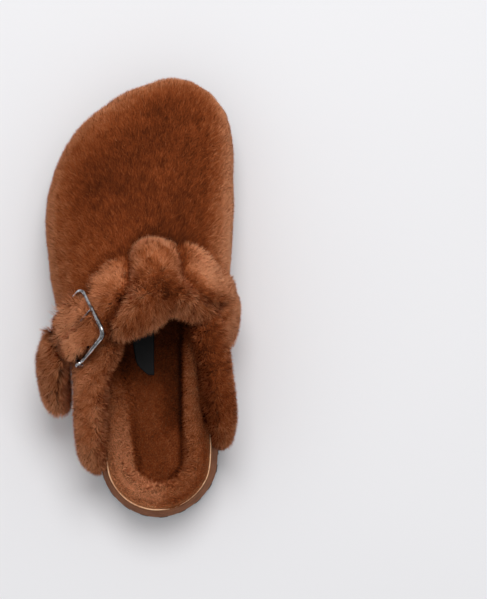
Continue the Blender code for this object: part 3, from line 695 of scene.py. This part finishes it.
def nearness(pieces, reach):
    """A function that is 1 at the pieces' points, and 0 from reach away."""
    points = np.vstack([triangles_of(piece.data)[0] for piece in pieces])
    tree = KDTree(len(points))
    for index, point in enumerate(points):
        tree.insert(point, index)
    tree.balance()
    low = points.min(axis=0) - reach
    high = points.max(axis=0) + reach

    def near(places):
        result = np.zeros(len(places))
        for index in np.where(((places > low) & (places < high)).all(axis=1))[0]:
            result[index] = 1.0 - min(1.0, tree.find(places[index])[2] / reach)
        return result
    return near


def uncovered(pieces, weight, depth=18.0):
    """weight, but 0 where one of the pieces lies over the place."""
    trees = [BVHTree.FromPolygons(*[part.tolist() for part in triangles_of(piece.data)[:2]])
             for piece in pieces]

    def open_weight(points, normals):
        share = weight(points, normals)
        for index in np.where(share > 0.0)[0]:
            start = Vector(points[index])
            way = Vector(normals[index])
            if any(tree.ray_cast(start, way, depth)[0] for tree in trees):
                share[index] = 0.0
        return share
    return open_weight


# ---- the upper

# Darker places where the vamp's wool is pressed, partly painted shade: x, y, radius and depth of
# tone.
VAMP_PATCHES = (
    (-9.0, -112.0, 13.0, 0.07), (28.0, -67.0, 14.0, 0.10), (-2.0, -55.0, 16.0, 0.08),
    (8.0, -88.0, 30.0, 0.05), (12.0, -36.0, 12.0, 0.05),
)
# The plan of the thick roll of wool over the throat, from its front point toward the heel.
ROLL_CURVE = smooth_loop(np.array((
    (-2.5, -26.5), (-10.0, -30.0), (-20.0, -27.0), (-23.5, -21.0), (-25.0, -11.0),
    (-35.0, -1.5), (-46.0, 4.0), (-47.0, 9.5), (-41.0, 12.0), (-29.0, 6.5),
    (-18.0, 6.5), (-8.0, 15.0), (3.0, 19.5), (10.5, 20.0), (10.5, 15.0), (3.0, 3.0),
    (-1.5, -7.0), (-0.5, -18.0),
)), 12)
ROLL_STEP = 1.6             # of the grid that its surfaces are made on
ROLL_SHOULDER = 9.0         # how far in from its edge it reaches its full height
# Each wing's rolled top edge: y, x, height of its middle, and radius.
LATERAL_ROLL = (
    (8.0, 16.0, 58.0, 6.0), (26.0, 18.0, 57.0, 9.4), (45.0, 24.0, 55.5, 8.4),
    (60.0, 27.0, 53.5, 7.6), (75.0, 27.5, 51.0, 7.4), (90.0, 28.0, 46.5, 6.6),
    (99.0, 27.5, 39.5, 5.4),
)
MEDIAL_ROLL = (
    (8.0, -40.0, 57.0, 7.0), (26.0, -44.5, 56.0, 9.0), (45.0, -48.0, 53.0, 8.0),
    (60.0, -50.5, 50.5, 6.6), (74.0, -52.5, 47.0, 5.8), (84.0, -52.0, 41.0, 5.0),
)


def outer_side(points, normals):
    """1 on the faces that look away from the foot, 0 on those that look at it."""
    inside = np.stack((spine_x(points[:, 1]), np.clip(points[:, 1], -85.0, 200.0),
                       np.full(len(points), 34.0)), axis=1)
    outward = normalised(points - inside)
    return smooth_step(((outward * normals).sum(axis=1) + 0.15) * 3.0)


def inner_side(points, normals):
    return 1.0 - outer_side(points, normals)


def above_ground(points, normals):
    """The wool thins out on faces that look down."""
    return smooth_step(normals[:, 2] + 1.0)


def leaning(normals):
    """0 where a surface looks straight up, 1 where it stands upright or looks down."""
    return 1.0 - np.clip(normals[:, 2], 0.0, 1.0)


def inset(depth):
    """A shape for soft_copy that sinks the hide below the ends of its wool."""
    def shape(points, normals):
        return points - normals * depth
    return shape


def depth_inside(points, outline):
    """How far each place in plan is inside a closed outline; below 0 outside."""
    best = np.full(len(points), 1e9)
    inside = np.zeros(len(points), bool)
    for a, b in zip(outline, np.roll(outline, -1, axis=0)):
        way = b - a
        along = np.clip(((points - a) @ way) / way.dot(way), 0.0, 1.0)
        best = np.minimum(best, np.linalg.norm(points - a - along[:, None] * way, axis=1))
        crosses = (a[1] > points[:, 1]) != (b[1] > points[:, 1])
        rise = way[1] if abs(way[1]) > 1e-9 else 1.0
        inside ^= crosses & (points[:, 0] < a[0] + (points[:, 1] - a[1]) / rise * way[0])
    return np.where(inside, best, -best)


def slanted(base, gain):
    """A tone that is lighter where the wool leans away from straight up: a painted rim light."""
    def tone(points, normals):
        return base + gain * leaning(normals)
    return tone


def make_vamp(looks, over):
    """over lists the pieces that lie on the vamp."""
    def shape(points, normals):
        """Sinks the outer face, less on the foot's inner side and at the toe.

        The toe also leans inward, and its inner corner is squared.
        """
        inner = smooth_step((-20.0 - points[:, 0]) / 20.0)
        toe = smooth_step((-72.0 - points[:, 1]) / 34.0)
        depth = 3.2 - 1.0 * inner * (1.0 - toe) - 2.4 * toe
        points = points - normals * (depth * outer_side(points, normals))[:, None]
        corner = (smooth_step((-98.0 - points[:, 1]) / 16.0)
                  * smooth_step((-8.0 - points[:, 0]) / 16.0))
        points[:, 0] -= 1.2 * toe + 1.6 * corner
        points[:, 1] -= 1.6 * corner
        return points
    vamp = soft_copy(["vamp_shell"], "vamp_hide", looks["hide"],
                     voxel=1.8, rounds=10, shape=shape)
    shadow = nearness(over, 12.0)

    def tone(points, normals):
        """Painted rim light where the wool leans and painted light on the inner side; darker in
        pressed patches, partly painted shade, with a painted shadow beside the strap, and darker
        low down.
        """
        x, y, z = points.T
        tint = slanted(0.28, 0.80)(points, normals) + 0.16 * smooth_step((-38.0 - x) / 14.0)
        for patch_x, patch_y, radius, depth in VAMP_PATCHES:
            away = (x - patch_x) ** 2 + (y - patch_y) ** 2
            tint -= depth * np.exp(-away / (radius * radius))
        low = smooth_step((44.0 - z) / 18.0)
        return tint - 0.22 * shadow(points) - 0.26 * low

    def outside(points, normals):
        return outer_side(points, normals) * above_ground(points, normals)

    def trim(places):
        """Shorter low down on the inner side, beside the other foot."""
        low = smooth_step((46.0 - places[:, 2]) / 10.0)
        return 1.0 - 0.32 * low * smooth_step((-20.0 - places[:, 0]) / 20.0)
    grow_wool("vamp_wool", vamp, away_from((-4.0, 10.0, 40.0), (1.0, 1.0, 0.4), 0.2), tone,
              looks, weight=uncovered(over, outside), trim=trim)

    lining = soft_copy(["vamp_lining"], "vamp_lining_hide", looks["hide"],
                       voxel=1.8, rounds=4)
    # The lining's wool is given a dark tone: painted shade inside the throat.
    grow_wool("vamp_lining_wool", lining, away_from((0.0, 40.0, 40.0)), slanted(0.15, 0.0),
              looks, weight=band(inner_side, -45.0, 50.0))


def band(weight, front, rear):
    """weight, kept between two distances along the foot."""
    def banded(points, normals):
        return weight(points, normals) * (points[:, 1] >= front) * (points[:, 1] < rear)
    return banded


def smooth_path(knots, count):
    """Evenly read columns of smooth curves through knots, whose first column is y."""
    knots = np.array(knots)
    y = np.linspace(knots[0, 0], knots[-1, 0], count)
    columns = [profile(knots[:, (0, column)], y) for column in range(1, knots.shape[1])]
    return y, columns


def make_wing(knots, name, base_tone, looks, over):
    """A side wing of the upper: its wall, and the thick roll of wool along its top."""
    y, (x, z, radius) = smooth_path(knots, 40)
    side = 1.0 if x[0] > 0.0 else -1.0
    points, faces = tube(np.column_stack((x, y, z)), radius + 0.6)
    roll = face_outward(mesh_object("roll", points, faces, looks["hide"]))
    wing = soft_copy([name + "_quarter_shell", name + "_quarter_lining"],
                     name + "_quarter_hide", looks["hide"], voxel=1.5, rounds=36,
                     swell=1.2, extra=roll, shape=inset(2.8))

    def crest_side(points):
        """Below 0 on the foot's side of the roll, above 0 outside it, by its radius."""
        middle = np.interp(points[:, 1], y, x)
        size = np.interp(points[:, 1], y, radius)
        return (points[:, 0] - middle) * side / size

    def comb(points, normals):
        """Outward and to the rear, and down at the rear end."""
        share = np.clip(crest_side(points), -1.5, 1.5)[:, None]
        rear = smooth_step((points[:, 1:2] - y[-1] + 10.0) / 12.0)
        return (share * np.array((side * 0.2, 0.0, -0.05)) + np.array((side * 0.45, 0.5, 0.0))
                + rear * np.array((0.0, 0.6, -0.2)))

    def tone(points, normals):
        """Painted rim light on the outer side where the wool leans, lighter at the rear end, and
        painted shade down inside the wing.
        """
        outer = smooth_step(0.5 + 0.5 * crest_side(points))
        edge = smooth_step((points[:, 1] - y[-1] + 14.0) / 20.0)
        return (base_tone + 0.50 * leaning(normals) * outer
                - 0.18 * (1.0 - outer) * smooth_step((52.0 - points[:, 2]) / 10.0)
                + 0.22 * edge)
    grow_wool(name + "_quarter_wool", wing, comb, tone, looks,
              weight=uncovered(over, above_ground, 12.0))


def between_surfaces(plan, top, bottom, quads):
    """A closed solid from the quads of a top surface, the same below, and walls between."""
    sheet = np.vstack((np.column_stack((plan, top)), np.column_stack((plan, bottom))))
    sides = {(a, b) for quad in quads.tolist() for a, b in zip(quad, quad[1:] + quad[:1])}
    under = len(plan)
    walls = [(a, a + under, b + under, b) for a, b in sorted(sides) if (b, a) not in sides]
    faces = np.vstack((quads, quads[:, ::-1] + under, np.array(walls)))
    used, faces = np.unique(faces, return_inverse=True)
    return sheet[used], faces.reshape(-1, 4)


def make_throat_roll(looks):
    """The thick roll of wool over the throat, which swells up between the strap's lobes."""
    low = ROLL_CURVE.min(axis=0) - ROLL_STEP
    high = ROLL_CURVE.max(axis=0) + 2.0 * ROLL_STEP
    xs = np.arange(low[0], high[0], ROLL_STEP)
    ys = np.arange(low[1], high[1], ROLL_STEP)
    grid_x, grid_y = np.meshgrid(xs, ys)
    plan = np.column_stack((grid_x.ravel(), grid_y.ravel()))
    depth = depth_inside(plan, ROLL_CURVE)
    flat = 1.0 - np.clip(depth / ROLL_SHOULDER, 0.0, 1.0)
    swell = np.sqrt(np.clip(1.0 - flat ** 2, 0.0, 1.0))
    skin = dome_height(plan[:, 0], plan[:, 1])
    lift = profile(((-40, 13.0), (-25, 15.5), (-8, 14.0), (4, 11.0), (14, 8.5), (30, 6.0)),
                   plan[:, 1])
    # A crease runs from the front fold toward the rear, and parts off the rear lobe.
    crease = np.abs((plan[:, 1] + 7.0) - 0.30 * (-24.0 - plan[:, 0]))
    dent = 3.5 * np.exp(-(crease / 3.0) ** 2) * smooth_step((-20.0 - plan[:, 0]) / 8.0)
    lumps = waves(np.column_stack((plan, skin)), 15.0, 91)[0] * 0.9
    top = skin + 1.0 + (lift + lumps - dent) * swell
    bottom = skin - 0.5 - 3.5 * swell
    quads = grid_quads(len(ys), len(xs))
    quads = quads[(depth[quads] > -0.6).all(axis=1)]
    points, faces = between_surfaces(plan, top, bottom, quads)
    raw = mesh_object("raw", points, faces, looks["hide"])
    mesh = raw.data
    bpy.data.objects.remove(raw)
    points, triangles, _ = softened(mesh, voxel=1.4, rounds=8)
    roll = mesh_object("throat_roll_hide", points, triangles, looks["hide"])
    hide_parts("throat_collar")
    dress(roll)

    def comb(points, normals):
        """Forward in front, back over the throat at the rear, and out at the sides."""
        from_middle = (points[:, 1] + 6.0) / 16.0
        rear = np.clip(from_middle, -1.0, 1.0)
        out = np.clip((points[:, 0] + 12.0) / 30.0, -1.0, 1.0)
        return np.column_stack((out * 0.55, rear * 0.9, -0.25 * np.abs(rear)))

    def tone(points, normals):
        """Painted rim light where the wool leans, lighter at its front edge; dark where the roll is
        pressed in the middle, partly painted shade.
        """
        x, y, _ = points.T
        pressed = (x + 19.0) ** 2 + (y + 3.0) ** 2
        return (slanted(0.46, 0.40)(points, normals) - 0.24 * np.exp(-pressed / 110.0)
                + 0.12 * smooth_step((-y - 22.0) / 12.0))
    grow_wool("throat_roll_wool", roll, comb, tone, looks, weight=above_ground)

    def lip(points, normals):
        """The rear edge of the roll, over the throat."""
        rear = smooth_step((points[:, 1] - 1.0) / 5.0) * smooth_step(normals[:, 1] * 2.5)
        return rear * smooth_step((normals[:, 2] + 0.5) * 2.0)

    def hanging(points, normals):
        """Toward the heel and down."""
        return normals * 0.4 + np.array((0.1, 1.0, -0.35))
    grow_wool("throat_lip_wool", roll, hanging, tone, looks, weight=lip)
    return roll


def along_buckle(places):
    """How far places are across the buckle's middle, and up from its eyes."""
    away = places - BUCKLE_CENTRE
    return away @ BUCKLE_ACROSS, -(away @ BUCKLE_DOWN)


def gathered(points):
    """Draws the strap's front edge back, most of all beside the roll."""
    back = profile(((-62, 9.0), (-50, 13.0), (-42, 10.0), (-34, 8.0), (-24, 10.0),
                    (-12, 13.0), (2, 15.0), (10, 11.0), (24, 9.0), (40, 5.0)), points[:, 0])
    points[:, 1] += back * smooth_step((6.0 - points[:, 1]) / 20.0)
    points[:, 0] += 3.0 * smooth_step((-38.0 - points[:, 0]) / 14.0)
    points[:, 0] -= 2.4 * smooth_step((points[:, 0] - 36.0) / 12.0)
    return points


def make_strap(looks, roll, bar):
    """The strap with its lobes, and the free end beyond the buckle."""
    near_bar = nearness([bar], 5.5)
    near_prong = nearness([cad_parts["buckle_prong"]], 6.0)

    def trim(places):
        """Shorter beside the bar, but long enough to hide its front side and the prong."""
        across, up = along_buckle(places)
        front = smooth_step((-9.0 - across) / 5.0)
        end_bar = smooth_step((up - 24.0) / 5.0)
        cover = 0.7 * smooth_step(2.0 * near_prong(places)) * (1.0 - end_bar)
        return 1.0 + smooth_step(near_bar(places)) * mix(-0.6, 0.8, front) + cover

    def shape(points, normals):
        """Sinks the hide, dips it beside the roll and gathers its front edge."""
        points = points - normals * 3.0 * outer_side(points, normals)[:, None]
        depth = depth_inside(points[:, :2], ROLL_CURVE)
        dip = np.where(depth > 0.0, 1.0, np.exp(-(depth / 6.0) ** 2))
        points[:, 2] -= 7.5 * dip * smooth_step((points[:, 2] - 45.0) / 15.0)
        return gathered(points)

    def backing_shape(points, normals):
        """Keeps the backing below the dipped hide."""
        points = points.copy()
        points[:, 2] -= 9.0 * smooth_step((points[:, 2] - 42.0) / 15.0)
        return gathered(points)
    strap = soft_copy(["instep_strap"], "instep_strap_hide", looks["hide"],
                      voxel=1.4, rounds=12, shape=shape)
    soft_copy(["instep_strap_backing"], "instep_strap_backing_hide", looks["leather"],
              voxel=0.8, rounds=2, shape=backing_shape)

    def tone(points, normals):
        """Painted shade in the crease beside the roll; painted light on the inner lobe, lighter at
        the buckle, and painted rim light where the wool leans.
        """
        x, _, z = points.T
        depth = depth_inside(points[:, :2], ROLL_CURVE)
        crease = 0.38 * np.exp(-((depth + 3.0) / 4.5) ** 2) * (z > 45.0)
        inner = smooth_step((-27.0 - x) / 16.0)
        buckled = smooth_step((x - 26.0) / 10.0)
        return (0.60 + 0.26 * inner + 0.20 * buckled
                + 0.16 * leaning(normals) - crease)
    grow_wool("instep_strap_wool", strap, away_from((-8.0, 4.0, 48.0), (1.0, 1.0, 0.4), 0.1),
              tone, looks, weight=uncovered([roll], outer_side, 8.0), trim=trim)

    def over_buckle(points, normals):
        """1 beside the bar's front side and the prong, 0 beside the bar's far end."""
        across, up = along_buckle(points)
        beside = np.maximum(near_bar(points) * (across < -10.0), near_prong(points))
        return smooth_step(beside * 3.0) * (up < 25.0) * outer_side(points, normals)
    grow_wool("buckle_tuft_wool", strap, away_from((20.0, -10.0, 60.0)), tone, looks,
              weight=over_buckle)

    tail = soft_copy(["strap_tail"], "strap_tail_hide", looks["hide"],
                     voxel=1.4, rounds=6, body="tail", shape=inset(3.2))

    def shaggy(points, normals):
        """Toward the heel, outward and down."""
        return normals * 0.3 + np.array((0.25, 0.7, -0.4))

    def tail_tone(points, normals):
        """Lighter toward the rear, with painted rim light where the wool leans."""
        low = smooth_step((points[:, 1] - 42.0) / 28.0)
        return 0.50 + 0.22 * low + 0.30 * leaning(normals)
    grow_wool("strap_tail_wool", tail, shaggy, tail_tone, looks, body="tail", trim=trim)
    return strap


# ---- the buckle

def buckle_point(across, up, out):
    return BUCKLE_CENTRE + BUCKLE_ACROSS * across - BUCKLE_DOWN * up + BUCKLE_OUT * out


def make_buckle(looks):
    """The slim polished bar, bent to a U, with an eye at each end."""
    rise = np.linspace(2.2, 25.0, 12)
    round_corner = np.radians(np.linspace(0.0, 90.0, 13))
    path = [buckle_point(-BUCKLE_HALF_WIDTH, up, 0.0) for up in rise]
    for side, turns in ((-1.0, round_corner), (1.0, round_corner[::-1])):
        for turn in turns:
            across = BUCKLE_HALF_WIDTH - BUCKLE_CORNER * (1.0 - math.cos(turn))
            up = BUCKLE_LENGTH - BUCKLE_CORNER * (1.0 - math.sin(turn))
            path.append(buckle_point(side * across, up, 0.0))
    path += [buckle_point(BUCKLE_HALF_WIDTH, up, 0.0) for up in rise[::-1]]
    across, _ = along_buckle(np.array(path))
    points, faces = tube(path, BAR_RADIUS + BAR_TAPER * across / BUCKLE_HALF_WIDTH, 24,
                         BUCKLE_OUT)
    turns = np.arange(32) / 32 * math.tau
    for side in (-1.0, 1.0):
        rows = []
        for turn in turns:
            way = -BUCKLE_DOWN * math.cos(turn) + BUCKLE_OUT * math.sin(turn)
            middle = buckle_point(side * BUCKLE_HALF_WIDTH, 0.0, 0.0) + way * EYE_RADIUS
            ring = [middle + way * 0.75 * math.cos(a) + BUCKLE_ACROSS * 1.3 * math.sin(a)
                    for a in turns[::2]]
            rows.append(np.array(ring))
        eye_points, eye_faces = loop_rows(rows, closed=True)
        faces = np.vstack((faces, eye_faces + len(points)))
        points = np.vstack((points, eye_points))
    return solid_piece("buckle_bar", points, faces, looks["metal"], "buckle_frame",
                       "buckle")


# ---- the sole

def rim_distance(points):
    """How far each place in plan is inside the rim."""
    return depth_inside(points, RIM)


def bed_plain(x, y, away):
    """The cork's top under a place in plan."""
    spine_y = np.clip(y, TOE_FAN_Y, HEEL_CENTRE[1])
    from_spine = np.hypot(x - spine_x(spine_y), y - spine_y)
    reach = from_spine + np.maximum(away - LINER_INSET, 0.0)
    share = from_spine / np.maximum(reach, 1e-6)
    return mix(seat_height(y), rim_height(y), share ** 3)


def ring_share(x, y):
    """Where the raised ring round the heel is full: more of the inner side than the outer."""
    inner = smooth_step((y - 4.0) / 30.0)
    outer = 0.25 + 0.75 * smooth_step((y - 54.0) / 38.0)
    return mix(inner, outer * smooth_step((y - 10.0) / 30.0), smooth_step((x + 16.0) / 10.0))


def bed_surface(x, y):
    """The footbed's top: a flat band by the rim, a puffy ring, and a hollow for the heel."""
    away = rim_distance(np.column_stack((x, y)))
    plain = bed_plain(x, y, away)
    away = away + 1.1 * waves(np.column_stack((x, y, plain)), 19.0, 32)[0]
    soft = smooth_step((x + 10.0) / 14.0) * smooth_step((112.0 - y) / 16.0)
    inward = smooth_step((away - 14.0) / mix(4.0, 9.0, soft))
    ring = smooth_step((away - 2.5) / 8.5) * (1.0 - 0.85 * inward)
    lumps = 1.0 * waves(np.column_stack((x, y, plain)), 13.0, 31)[0]
    height = mix(2.5, mix(6.0, 3.6, soft) + lumps, ring_share(x, y))
    return plain + 1.2 + 1.7 * smooth_step(away / 3.5) + np.maximum(ring * height, 0.0)


def make_liner(looks):
    """The shearling footbed, from heel to toe in rows across."""
    edge = 1.3
    low, high = RIM[:, 1].min() + edge + 0.3, RIM[:, 1].max() - edge - 0.1
    shares = np.sin(np.linspace(-0.5, 0.5, 75) * math.pi)
    loops = []
    for y in mix(low, high, 0.5 - 0.5 * np.cos(np.linspace(0.0, math.pi, 170))):
        inner, outer = rim_across(y)
        row_y = np.full(len(shares), y)
        x = 0.5 * (inner + outer) + shares * np.maximum(0.5 * (outer - inner) - edge, 0.5)
        away = rim_distance(np.column_stack((x, row_y)))
        top = np.column_stack((x, row_y, bed_surface(x, row_y)))
        under = np.column_stack((x, row_y, bed_plain(x, row_y, away) + 0.3))
        loops.append(np.vstack((top, under[::-1])))
    ends = [np.repeat(loop.mean(axis=0)[None], len(loop), axis=0) for loop in (loops[0], loops[-1])]
    points, faces = loop_rows([ends[0]] + loops + [ends[1]])
    liner = solid_piece("footbed_liner_hide", points, faces, looks["bed_hide"],
                        "footbed_liner")

    def comb(points, normals):
        """Toward the heel, and down the sides of the hollow."""
        rise = normals[:, :2] * 0.25
        return np.column_stack((rise, np.zeros(len(points)))) + np.array((0.25, 0.55, 0.0))

    def top_side(points, normals):
        return smooth_step(normals[:, 2] * 3.0)

    def nap(places):
        """Short by the rim, longer on the ring."""
        return mix(0.45, 1.0, smooth_step((rim_distance(places[:, :2]) - 2.0) / 6.0))

    def tone(points, normals):
        """Lighter on the ring and the band by the rim, with painted light on the lit outer rear
        part; dark in front and in the creases, painted shade that is deepest on the inner side.
        """
        x, y = points[:, 0], points[:, 1]
        away = rim_distance(points[:, :2])
        full = ring_share(x, y)
        lit = smooth_step((y - 34.0) / 26.0) * smooth_step((x + 24.0) / 16.0)
        ring = (1.0 - smooth_step((away - 14.5) / 3.0)) * full
        crease = np.exp(-((away - 17.5) / 2.2) ** 2) * full
        hollow = smooth_step((y - 72.0) / 16.0) * (1.0 - ring)
        shade = smooth_step((-14.0 - x) / 12.0)
        band_tone = 0.10 * (1.0 - smooth_step((away - 4.0) / 4.0)) * full
        return (0.15 + 0.28 * lit * (1.0 - hollow) + 0.22 * hollow - band_tone
                + ring * mix(0.34, 0.36, shade) - crease * mix(0.06, 0.28, shade))
    grow_wool("footbed_wool", liner, comb, tone, looks,
              weight=band(top_side, -45.0, 200.0), trim=nap)


def sole_row(offset, height):
    """A loop round the sole, offset outward from the rim."""
    plan = RIM + RIM_OUT * np.broadcast_to(offset, len(RIM))[:, None]
    return np.column_stack((plan, np.broadcast_to(height, len(RIM))))


def make_sole_wall(looks):
    """The suede wrap and the pale cut edge of the liner's skin on top of it."""
    y = RIM[:, 1]
    low = floor_height(y) + OUTSOLE_THICKNESS + 0.3
    top = rim_height(y)
    rows = []
    for share in np.linspace(0.0, 1.0, 14):
        height = mix(low, top, share)
        bulge = 0.5 * math.sin(math.pi * share) - 0.3 * share ** 12
        rows.append(sole_row(wall_offset(RIM, height) + bulge, height))
    for share in np.linspace(1.0, 0.0, 5):
        height = mix(low, top, share)
        rows.append(sole_row(wall_offset(RIM, height) - WRAP_THICKNESS, height))
    points, faces = loop_rows(rows, closed=True)
    solid_piece("sole_wrap_suede", points, faces, looks["suede"], "sole_side_wrap")

    rows = []
    middle = np.column_stack((RIM, top))
    wobble = waves(middle, 14.0, 5)[0] * 0.12
    for turn in np.arange(10) / 10.0 * math.tau:
        across = 0.42 * math.cos(turn) - 0.75
        rise = 0.5 * math.sin(turn) + 1.1
        rows.append(sole_row(across + wobble, top + rise + wobble))
    points, faces = loop_rows(rows, closed=True)
    solid_piece("liner_edge_line", points, faces, looks["skin_edge"], "liner_skin_edge")


def make_outsole(looks):
    """Black rubber: a rim of small lugs, and a tread of straight grooves but for the arch."""
    rim = even_loop(RIM, 900)
    out = loop_normals(rim)
    run = np.arange(len(rim)) / len(rim)
    lugs = smooth_step(0.5 + 1.6 * np.cos(run * math.tau * LUG_COUNT))
    flare = wall_flare(rim[:, 0]) - 0.55

    def loop(offset, lift, share=1.0):
        plan = rim + out * np.broadcast_to(offset, len(rim))[:, None]
        spine_y = np.clip(plan[:, 1], TOE_FAN_Y, HEEL_CENTRE[1])
        spine = np.column_stack((spine_x(spine_y), spine_y))
        plan = mix(spine, plan, share)
        return np.column_stack((plan, floor_height(plan[:, 1]) + lift(plan[:, 1])))

    def level(height):
        return lambda y: np.full(len(y), height)

    def tread(y):
        """Grooves across the sole, but for the arch and the two ends."""
        along = np.abs(y)
        half = GROOVE_SPACING / 2.0
        away = np.abs(along % GROOVE_SPACING - half)
        depth = GROOVE_DEPTH * smooth_step((1.9 - away) / 0.9)
        return depth * (along > TREAD_START) * (along < TREAD_END)
    loops = [loop(-8.0, level(OUTSOLE_THICKNESS)), loop(flare, level(OUTSOLE_THICKNESS)),
             loop(flare + 0.15 + 0.3 * lugs, level(5.6)), loop(flare + 0.85 * lugs, level(4.4)),
             loop(flare + 0.9 * lugs, lambda y: 0.5 + tread(y)),
             loop(flare - 0.4 + 0.8 * lugs, tread)]
    loops += [loop(flare - 1.2, tread, share) for share in np.linspace(0.985, 0.02, 44)]
    top = [loop(-8.0, level(OUTSOLE_THICKNESS), share) for share in (0.02, 0.5)]
    points, faces = loop_rows(loops + top, closed=True)
    solid_piece("rubber_outsole", points, faces, looks["rubber"], "outsole")


def make_label(looks):
    """A blank woven label with a slanted end, laid on the footbed in the throat."""
    rows = []
    for y in np.linspace(0.0, LABEL_LENGTH, 31):
        outer = profile(((0.0, 5.0), (22.0, 3.7), (33.0, 2.4), (40.0, 0.4),
                         (LABEL_LENGTH, -6.0)), y)
        xs = np.linspace(LABEL_INNER_X, outer, 15)
        ys = np.full(len(xs), y)
        rows.append(np.column_stack((xs, ys, bed_surface(xs, ys) + LABEL_LIFT)))
    label = mesh_object("woven_label_blank", np.vstack(rows), grid_quads(len(rows), len(xs)),
                        looks["label"])
    thick = label.modifiers.new("thick", "SOLIDIFY")
    thick.thickness = 0.0004
    thick.offset = 0.0
    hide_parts("woven_label")
    dress(label)


def finish_cad_nodes(looks):
    """Carried-over CAD pieces get their finished materials."""
    for node, look in (("lower_jute_layer", "jute"),
                       ("cork_footbed", "cork"), ("upper_jute_layer", "jute"),
                       ("buckle_crossbar", "metal"), ("buckle_prong", "metal"),
                       ("buckle_tab", "leather")):
        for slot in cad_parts[node].material_slots:
            slot.material = looks[look]


# ---- light and camera

def make_stage():
    look = Look("floor_paper", 0.9, Specular_IOR_Level=0.1)
    tint = look.noise(3.0, 2.0)
    look.colour(look.ramp(tint, (0.3, srgb(238, 238, 241)), (0.7, srgb(240, 240, 243))))
    size, drop = 3000.0, -0.2
    points = np.array([(x * size, y * size, drop)
                       for x, y in ((-1, -1), (1, -1), (1, 1), (-1, 1))])
    mesh_object("floor", points, [[0, 1, 2, 3]], look.material)


def add_light(name, place, target, size, watts, colour=(1.0, 1.0, 1.0)):
    light = bpy.data.lights.new(name, "AREA")
    light.shape = "DISK"
    light.size = size
    light.energy = watts
    light.color = colour
    lamp = bpy.data.objects.new(name, light)
    lamp.location = place
    lamp.rotation_euler = (Vector(target) - Vector(place)).to_track_quat("-Z", "Y").to_euler()
    bpy.context.scene.collection.objects.link(lamp)


def make_lights():
    world = bpy.data.worlds.new("studio")
    world.use_nodes = True
    nodes = world.node_tree.nodes
    links = world.node_tree.links
    height = nodes.new("ShaderNodeSeparateXYZ")
    links.new(nodes.new("ShaderNodeTexCoord").outputs["Generated"], height.inputs[0])
    sky = nodes.new("ShaderNodeValToRGB")
    sky.color_ramp.elements[0].position = 0.15
    sky.color_ramp.elements[0].color = (0.45, 0.45, 0.455, 1.0)
    sky.color_ramp.elements[1].position = 0.65
    sky.color_ramp.elements[1].color = (1.0, 1.0, 1.0, 1.0)
    links.new(height.outputs["Z"], sky.inputs["Fac"])
    links.new(sky.outputs["Color"], nodes["Background"].inputs["Color"])
    nodes["Background"].inputs["Strength"].default_value = 0.61
    bpy.context.scene.world = world
    add_light("key", (-0.12, -0.95, 1.8), (0.0, 0.0, 0.0), 1.2, 21.0, (1.0, 0.995, 0.985))
    add_light("glint", (-0.6, -0.4, 1.3), (0.04, 0.02, 0.08), 0.16, 0.5)


def make_camera():
    """Almost straight above, from a little behind the heel, framed for the pair.

    This slipper is the left one of the pair, so it is left of the middle.
    """
    target = Vector((-0.0645, 0.0003, 0.04))
    place = Vector((-0.0645, 0.095, 1.5))
    view_height = 0.36539       # metres that the picture's height spans at the target
    camera = bpy.data.cameras.new("camera")
    camera.sensor_width = 36.0
    camera.lens = camera.sensor_width * (place - target).length / view_height
    camera.clip_end = 20.0
    holder = bpy.data.objects.new("camera", camera)
    holder.location = place
    tilt = math.atan2(place.y - target.y, place.z - target.z)
    holder.rotation_euler = (tilt, 0.0, math.pi)
    bpy.context.scene.collection.objects.link(holder)
    bpy.context.scene.camera = holder


def main():
    looks = {
        "wool": wool_look(),
        "hide": hide_look("hide", srgb(58, 24, 10)),
        "bed_hide": hide_look("bed_hide", srgb(140, 84, 44)),
        "suede": suede_look(),
        "skin_edge": skin_edge_look(),
        "rubber": rubber_look(),
        "cork": cork_look(),
        "jute": jute_look(),
        "leather": leather_look(),
        "metal": metal_look(),
        "label": label_look(),
    }
    roll = make_throat_roll(looks)
    bar = make_buckle(looks)
    strap = make_strap(looks, roll, bar)
    make_vamp(looks, [roll, strap])
    make_wing(LATERAL_ROLL, "lateral", 0.58, looks, [roll, strap])
    make_wing(MEDIAL_ROLL, "medial", 0.38, looks, [roll, strap])
    make_liner(looks)
    make_sole_wall(looks)
    make_outsole(looks)
    make_label(looks)
    finish_cad_nodes(looks)
    make_stage()
    make_lights()
    make_camera()
    bpy.context.scene.view_settings.view_transform = "Standard"


main()
